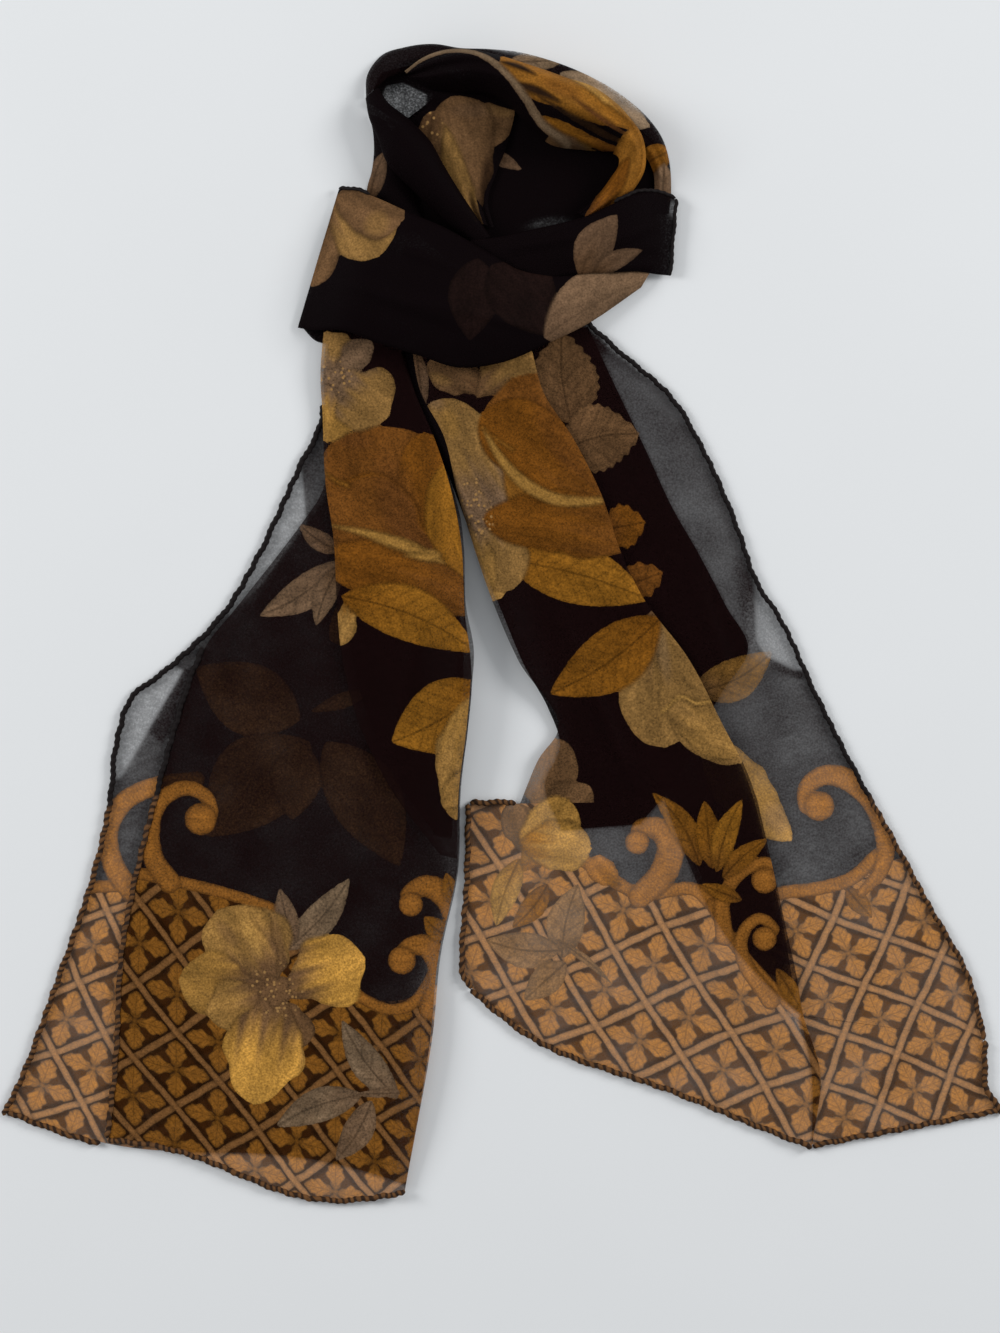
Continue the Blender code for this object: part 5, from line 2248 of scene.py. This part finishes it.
@dataclass
class NeckRing(SubAssembly):
    """The loop for the neck, its cloth gathered round the opening, and the two bands that close it."""

    gather: float = 0.55

    def layers(self) -> list[Stretch]:
        """The stretches, lowest first."""
        return [
            self.floor(), self.outer(), self.left(), self.inside(),
            self.diagonal(), self.back(), self.cross(), self.front(),
        ]

    def floor(self) -> Stretch:
        """The dark cloth at the bottom of the opening."""
        return Stretch(
            "ring_floor_sheet",
            "ring_floor",
            (
                Raised(390, 132, 0, 386, 200, 0, 0),
                Raised(424, 106, 0, 440, 250, 0, 0),
                Raised(452, 84, 0, 470, 268, 0, 0),
                Raised(500, 76, 0, 505, 272, 0, 0),
                Raised(545, 84, 0, 550, 278, 0, 0),
                Raised(590, 98, 0, 590, 270, 0, 0),
                Raised(630, 120, 0, 626, 250, 0, 0),
                Raised(660, 150, 0, 656, 230, 0, 0),
            ),
            motifs=(Leaf((484, 150), (522, 170), 7, Ink.TAUPE_DEEP, 0, Ink.TAUPE_DARK, veins=0.2),),
            # Its four plies give it the darker plied field, partly painted shade of the hollow.
            plies=4,
            thin=(Thin((548, 224), (44, 14), -8, 0.48, 0.7),),
        )

    def outer(self) -> Stretch:
        """The outermost fold of the loop, sheer at its edge."""
        return Stretch(
            "ring_outer_sheet",
            "ring_outer",
            (
                Raised(366, 98, 0, 379, 88, 5, 3),
                Raised(367, 76, 0, 388, 80, 5, 4),
                Raised(381, 56, 0, 402, 75, 4, 4),
                Raised(406, 47, 0, 422, 70, 3, 4),
                Raised(434, 44, 0, 446, 66, 2, 3),
                Raised(460, 48, 0, 468, 69, 2, 2.5),
                Raised(488, 49, 0, 494, 74, 2, 2.5),
                Raised(518, 52, 0, 520, 82, 2, 2.5),
                Raised(555, 62, 0, 548, 92, 2, 2.5),
                Raised(589, 76, 0, 578, 103, 2, 2.5),
                Raised(617, 92, 0, 600, 118, 2, 2.5),
                Raised(645, 115, 0, 618, 136, 2, 2.5),
                Raised(662, 138, 0, 640, 150, 2, 2),
                Raised(669, 160, 0, 652, 170, 1.5, 2),
                Raised(671, 194, 0, 654, 196, 1.5, 1.5),
                Raised(669, 214, 0, 652, 214, 1.5, 1),
            ),
            motifs=(
                Leaf((508, 64), (566, 60), 11, Ink.TAUPE_LIGHT, 0, Ink.TAUPE),
                Leaf((560, 74), (650, 128), 26, Ink.GREY_TAUPE, -6, Ink.TAUPE_LIGHT, veins=0.3),
                Leaf((640, 168), (674, 148), 14, Ink.AMBER, 0, Ink.ROSE),
                Leaf((662, 206), (664, 164), 14, Ink.TAUPE, 0, Ink.TAUPE_DEEP),
            ),
            thin=(Thin((520, 50), (46, 9), 8, 0.5, 0.6), Thin((620, 92), (54, 15), 38, 0.52, 0.6)),
            turned=(Edge.LEFT,),
            pleats=((2.0, 0.35),),
            plies=2,
        )

    def left(self) -> Stretch:
        """The left shoulder of the loop."""
        return Stretch(
            "ring_left_sheet",
            "ring_left",
            (
                Raised(369, 114, 0, 386, 122, 2, 2),
                Raised(373, 132, 0, 396, 140, 2, 3.5),
                Raised(374, 150, 0, 402, 156, 2, 4),
                Raised(372, 170, 0, 408, 176, 2, 4),
                Raised(367, 190, 0, 415, 200, 2, 4),
                Raised(371, 212, 0, 426, 230, 2, 4),
            ),
            motifs=(Leaf((370, 202), (386, 152), 11, Ink.TAUPE_DEEP, 3, Ink.TAUPE_DARK),),
            turned=(Edge.LEFT,),
            plies=3,
        )

    def inside(self) -> Stretch:
        """The inner side of the loop, with a flower that narrows to the fold."""
        return Stretch(
            "ring_inside_sheet",
            "ring_inside",
            (
                Raised(368, 103, 1.5, 382, 73, 1.5, 0),
                Raised(388, 116, 1.5, 420, 66, 1.5, 0.5),
                Raised(406, 127, 1.6, 470, 84, 1.6, 2),
                Raised(421, 143, 1.5, 512, 98, 1.5, 3),
                Raised(437, 163, 1.5, 508, 142, 1.5, 3),
                Raised(450, 187, 1.5, 497, 172, 1.5, 2.2),
                Raised(462, 209, 1.5, 488, 204, 1.5, 1.2),
                Raised(472, 222, 1.5, 494, 228, 1.5, 0.8),
            ),
            motifs=(
                Petal((474, 196), (428, 114), 24, Ink.TAUPE_BROWN, Ink.TAUPE_DARK, roundness=0.5),
                Petal((440, 140), (526, 116), 24, Ink.BRONZE, Ink.TAUPE_BROWN, widest=0.4, roundness=0.9),
                Petal((484, 212), (452, 98), 34, Ink.BRONZE, Ink.TAUPE_BROWN, widest=0.7, roundness=0.6),
                Petal((497, 252), (446, 128), 13, Ink.WHEAT, Ink.BRONZE, bend=10, widest=0.6, roundness=1.0),
                Wash((452, 150), (10, 34), -24, Ink.WHEAT, 0.6),
                Wash((500, 112), (20, 8), 10, Ink.WHEAT, 0.4),
                Wash((488, 184), (11, 44), 8, Ink.SHADOW, 0.9),
                Wash((428, 120), (14, 26), -30, Ink.TAUPE_DARK, 0.7, 1.0),
                Wash((472, 112), (30, 10), 0, Ink.TAUPE_DEEP, 0.4),
            ),
            thin=(
                Window(
                    ((387, 87), (403, 84), (426, 96), (426, 108), (412, 119), (396, 113), (381, 101)),
                    0.66, 2.0,
                ),
            ),
            pleats=((2.6, self.gather),),
            plies=3,
        )

    def diagonal(self) -> Stretch:
        """The dark roll that crosses the left of the opening."""
        return Stretch(
            "ring_diagonal_sheet",
            "ring_diagonal",
            (
                Raised(366, 100, 4, 379, 90, 6, 4),
                Raised(369, 118, 6, 388, 104, 6, 6),
                Raised(378, 140, 7, 408, 120, 6, 7),
                Raised(388, 166, 7.5, 429, 141, 6, 7),
                Raised(415, 194, 5, 444, 167, 6, 7),
                Raised(438, 216, 3, 461, 195, 6, 6),
                Raised(468, 246, 3, 491, 238, 4, 3.5),
            ),
            arched=True,
            pleats=((1.5, 0.3),),
            plies=3.5,
        )

    def back(self) -> Stretch:
        """The gathered gold roll round the far side of the opening."""
        return Stretch(
            "ring_back_sheet",
            "ring_back",
            (
                Raised(405, 74, 7.5, 413, 83, 6, 2),
                Raised(421, 62, 7.5, 431, 91, 3.5, 8),
                Raised(440, 54, 6.5, 456, 94, 2, 14),
                Raised(466, 52, 6, 486, 96, 2, 18),
                Raised(497, 58, 5.5, 510, 108, 2, 21),
                Raised(530, 68, 5.5, 529, 128, 2, 23),
                Raised(565, 80, 5.5, 552, 146, 2, 23),
                Raised(597, 92, 5.5, 584, 151, 2, 21),
                Raised(625, 115, 5.5, 606, 153, 2, 17),
                Raised(643, 142, 5.5, 618, 158, 2, 13),
                Raised(645, 168, 4, 618, 167, 2, 11),
                Raised(634, 190, 2.5, 611, 178, 2, 9.5),
                Raised(612, 208, 2, 598, 195, 2, 8),
                Raised(590, 222, 2, 576, 214, 2, 6.5),
            ),
            arched=True,
            motifs=(
                Petal((632, 156), (534, 122), 6, Ink.AMBER, Ink.ROSE, bend=4, roundness=0.8),
                Petal((630, 160), (548, 140), 5, Ink.WHEAT, Ink.AMBER, bend=4, roundness=0.8),
                Petal((590, 152), (544, 144), 8, Ink.TAUPE_BROWN, Ink.TAUPE_DEEP, roundness=0.7),
                Petal((656, 146), (502, 64), 33, Ink.AMBER_LIGHT, Ink.AMBER, bend=-10, roundness=0.55),
                Petal((648, 144), (556, 60), 15, Ink.HONEY, Ink.AMBER_LIGHT, bend=-8),
                # Painted shade: the four thin dark leaves below are the shadows in the folds of the roll, not
                # print.
                Leaf((634, 152), (538, 106), 3.0, Ink.SHADOW, 3, Ink.SHADOW, veins=0),
                Leaf((632, 144), (570, 104), 2.4, Ink.ROSE_DEEP, 3, Ink.SHADOW, veins=0),
                Leaf((512, 92), (560, 112), 4.0, Ink.SHADOW, 2, Ink.SHADOW, veins=0),
                Leaf((500, 70), (536, 84), 3.0, Ink.SHADOW, 2, Ink.SHADOW, veins=0),
                Wash((560, 96), (30, 10), 24, Ink.ROSE, 0.6),
                Petal((576, 232), (650, 126), 22, Ink.AMBER_LIGHT, Ink.ROSE_DEEP, bend=-8, roundness=0.7),
                Petal((578, 230), (628, 162), 9, Ink.ROSE_LIT, Ink.ROSE_DEEP, bend=-3, roundness=0.8),
                Scroll(
                    (
                        (401, 78), (420, 64), (448, 56), (476, 60), (500, 76), (522, 102), (542, 130),
                        (568, 148),
                    ),
                    6, 8, 0, Ink.TAUPE_LIGHT, Ink.TAUPE, 0,
                ),
            ),
            pleats=((3.3, 1.3 * self.gather), (5.2, 0.6 * self.gather)),
            creases=(
                Crease((636, 150), (520, 84), 4, 1.3),
                Crease((634, 154), (548, 122), 3, -1.0),
                Crease((640, 140), (580, 82), 4, 1.1),
                Crease((640, 136), (590, 218), 3.5, 1.3),
                Crease((650, 156), (604, 214), 3, -0.8),
            ),
            plies=3,
        )

    def cross(self) -> Stretch:
        """The band that closes the opening behind, its hem at the right."""
        return Stretch(
            "cross_band_sheet",
            "cross_band",
            (
                Raised(471, 242, 9, 466, 262, 9, 0.3),
                Raised(499, 239, 9.5, 505, 270, 9, 0.5),
                Raised(532, 232, 10.5, 540, 281, 8.5, 1),
                Raised(560, 226, 11.5, 566, 278, 8.5, 2),
                Raised(586, 219, 12, 590, 275, 8.5, 3),
                Raised(612, 207, 12, 615, 274, 7.5, 3),
                Raised(636, 195, 9, 640, 273, 5.5, 3),
                Raised(655, 193, 6, 655, 275, 4, 2),
                Raised(675, 200, 3, 669, 276, 2.5, 0.2),
            ),
            motifs=(
                Leaf((580, 280), (616, 218), 19, Ink.TAUPE_DEEP, 4, Ink.TAUPE_DARK, veins=0.3),
                Leaf((592, 278), (642, 252), 9, Ink.TAUPE_DEEP, 3, Ink.TAUPE_DARK, veins=0.3),
            ),
            thin=(Thin((673, 210), (8, 12), 0, 0.45, 0.6),),
            turned=(Edge.LEFT, Edge.RIGHT),
            creases=(
                Crease((500, 252), (600, 236), 6, 1.2),
                Crease((560, 268), (664, 222), 7, 1.2),
                Crease((600, 262), (668, 256), 6, -0.7),
            ),
            plies=3,
        )

    def front(self) -> Stretch:
        """The broad band across the front, wrapped round the layers inside it."""
        return Stretch(
            "front_band_sheet",
            "front_band",
            (
                Raised(339, 190, 2, 298, 328, 2, 0.5),
                Raised(352, 191, 7, 312, 331, 5, 2),
                Raised(373, 199, 11.5, 339, 332, 11, 4),
                Raised(409, 215, 12, 378, 345, 12, 6),
                Raised(446, 231, 12.5, 420, 358, 12.5, 7),
                Raised(490, 256, 12.5, 463, 370, 12.5, 7),
                Raised(518, 272, 12, 504, 364, 12, 6),
                Raised(553, 277, 8.5, 548, 345, 10, 4),
                Raised(600, 268, 5, 589, 324, 6, 2.5),
                Raised(654, 266, 2.5, 641, 288, 3, 0.3),
            ),
            motifs=(
                Leaf((478, 262), (470, 344), 26, Ink.EMBER, 0, Ink.EMBER, veins=0.2),
                Leaf((492, 268), (548, 338), 34, Ink.EMBER, 6, Ink.EMBER, veins=0.2),
                Leaf((544, 340), (660, 276), 34, Ink.TAUPE, 6, Ink.TAUPE_DEEP, veins=0.4),
                Petal((350, 196), (312, 288), 18, Ink.BRONZE, Ink.TAUPE_DARK, bend=-4),
                Petal((342, 190), (380, 260), 34, Ink.WHEAT, Ink.TAUPE_BROWN, widest=0.62, roundness=0.5),
                Petal((334, 194), (404, 222), 28, Ink.BRONZE, Ink.TAUPE_BROWN, bend=-6, roundness=0.5),
                Wash((378, 228), (16, 18), 30, Ink.WHEAT, 0.6),
            ),
            turned=(Edge.LEFT, Edge.RIGHT),
            creases=(
                Crease((350, 230), (520, 300), 7, 1.7),
                Crease((330, 280), (500, 340), 8, 1.4),
                Crease((420, 262), (560, 312), 6, -1.3),
                Crease((400, 300), (540, 334), 6, 1.2),
                Crease((540, 300), (640, 286), 5, 0.9),
                Crease((316, 216), (322, 320), 6, 0.7),
            ),
            plies=4,
        )

    def hems(self) -> dict[str, list[RolledHem]]:
        """The short lengths of hem that show on the bands."""
        return {
            "front_band_sheet": [
                RolledHem("front_band", Edge.LEFT, 0.0, 0.10, radius=THIN_HEM_RADIUS),
            ],
            "cross_band_sheet": [
                RolledHem("cross_band_top", Edge.LEFT, 0.72, 1.0, radius=THIN_HEM_RADIUS),
                RolledHem("cross_band_end", Edge.END, 0.0, 1.0, radius=THIN_HEM_RADIUS),
            ],
        }


@dataclass
class WrapCore:
    """The hidden cloth inside the front band, folded to and fro on itself."""

    band: Stretch
    first: float = 0.235
    last: float = 0.77
    across: tuple[float, float] = (0.24, 0.72)
    levels: int = 5
    clearance: float = 1.2 * MM
    turn_from: float = 0.9  # the share of a level after which it turns up to the next
    first_level: float = 0.12

    def build(self, finishes: Finishes) -> bpy.types.Object:
        """Makes the sheet: its share across runs to and fro once a level, and it steps up at turns.

        Args:
            finishes: the materials.

        Returns:
            The sheet.
        """
        t = np.linspace(0, self.levels, 30 * self.levels + 1)[:-1]
        level, part = np.floor(t), t - np.floor(t)
        swing = np.clip(part / self.turn_from, 0, 1)
        swing = np.where(level % 2 == 0, swing, 1 - swing)
        climb = smooth_step((part - self.turn_from) / (1 - self.turn_from))
        height = (level + climb + self.first_level) / (self.levels + self.first_level)
        v = np.linspace(self.first, self.last, 90)
        u = np.linspace(*self.across, 60)
        x, y, z, _ = self.band.surface(u, v)
        index = swing * (u.size - 1)
        near = np.clip(index.astype(int), 0, u.size - 2)
        share = index - near
        x, y, z = (grid[:, near] * (1 - share) + grid[:, near + 1] * share for grid in (x, y, z))
        shoulder = 0.72 + 0.28 * np.sin(np.pi * np.clip(swing, 0.02, 0.98)) ** 0.5
        z = np.maximum((z - self.clearance) * height * shoulder, 0.5 * MM)
        faces = grid_faces(t.size, v.size)
        piece = mesh_object("wrap_core_sheet", in_metres(x, y, z), faces, finishes.cloth)
        self.band.dress_plain(piece.data)
        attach(piece, "root")
        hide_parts("wrap_core")
        declare_sheet(piece, v.size, t.size)
        LOG.info("wrap core: %d levels", self.levels)
        return piece


@dataclass(frozen=True)
class Studio:
    """The pale table, the soft light and the camera straight above."""

    aim: Point = (-1.73 * MM, -19.07 * MM)
    height: float = 1.6855
    lens: float = 100.0
    lamp_places: tuple[tuple[float, float, float], ...] = ((-1.9, 0.6, 1.08), (1.95, 0.9, 1.2))
    lamp_powers: tuple[float, ...] = (26.8, 34.5)
    lamp_size: float = 0.9
    fill: Colour = (0.391, 0.400, 0.410)

    def build(self) -> None:
        """Lays the table, hangs the lamps, lights the room and sets the camera."""
        self.table()
        for place, power in zip(self.lamp_places, self.lamp_powers):
            self.lamp(place, power)
        self.room()
        self.camera()
        LOG.info("studio: table, %d lamps and camera", len(self.lamp_places))

    def table(self) -> None:
        """A flat sheet well past the view, just under the cloth."""
        side, drop = 3.0, -0.3 * MM
        ways = ((-1, -1), (1, -1), (1, 1), (-1, 1))
        corners = np.array([(x * side, y * side, drop) for x, y in ways])
        top = mesh_object("table", corners, np.array([[0, 1, 2, 3]]), TableFinish().material())

    def lamp(self, place: tuple[float, float, float], power: float) -> None:
        """Hangs a square soft lamp that looks at the middle of the cloth.

        Args:
            place: where it hangs.
            power: its power in watts.
        """
        light = bpy.data.lights.new("lamp", "AREA")
        light.shape = "SQUARE"
        light.size = self.lamp_size
        light.energy = power
        lamp = bpy.data.objects.new("lamp", light)
        lamp.location = place
        way = Vector((self.aim[0], self.aim[1], 0)) - Vector(place)
        lamp.rotation_euler = way.to_track_quat("-Z", "Y").to_euler()
        bpy.context.scene.collection.objects.link(lamp)

    def room(self) -> None:
        """An even cool light from all round."""
        world = bpy.data.worlds.new("room")
        world.use_nodes = True
        world.node_tree.nodes["Background"].inputs["Color"].default_value = (*self.fill, 1.0)
        world.node_tree.nodes["Background"].inputs["Strength"].default_value = 1.0
        bpy.context.scene.world = world

    def camera(self) -> None:
        """A long lens straight above, its top towards +Y."""
        seen = bpy.data.cameras.new("camera")
        seen.lens = self.lens
        seen.sensor_fit = "VERTICAL"
        seen.sensor_height = 36.0
        seen.clip_end = 10.0
        camera = bpy.data.objects.new("camera", seen)
        camera.location = (*self.aim, self.height)
        bpy.context.scene.collection.objects.link(camera)
        bpy.context.scene.camera = camera
        bpy.context.scene.view_settings.view_transform = "Standard"


def main() -> None:
    """Builds the finishes and each sub-assembly in turn."""
    logging.basicConfig(level=logging.INFO, format="%(message)s")
    finishes = Finishes.made()
    Studio().build()
    LeftTail().build(finishes)
    RightTail().build(finishes)
    ring = NeckRing()
    ring.build(finishes)
    WrapCore(ring.front()).build(finishes)


if __name__ == "__main__":
    main()
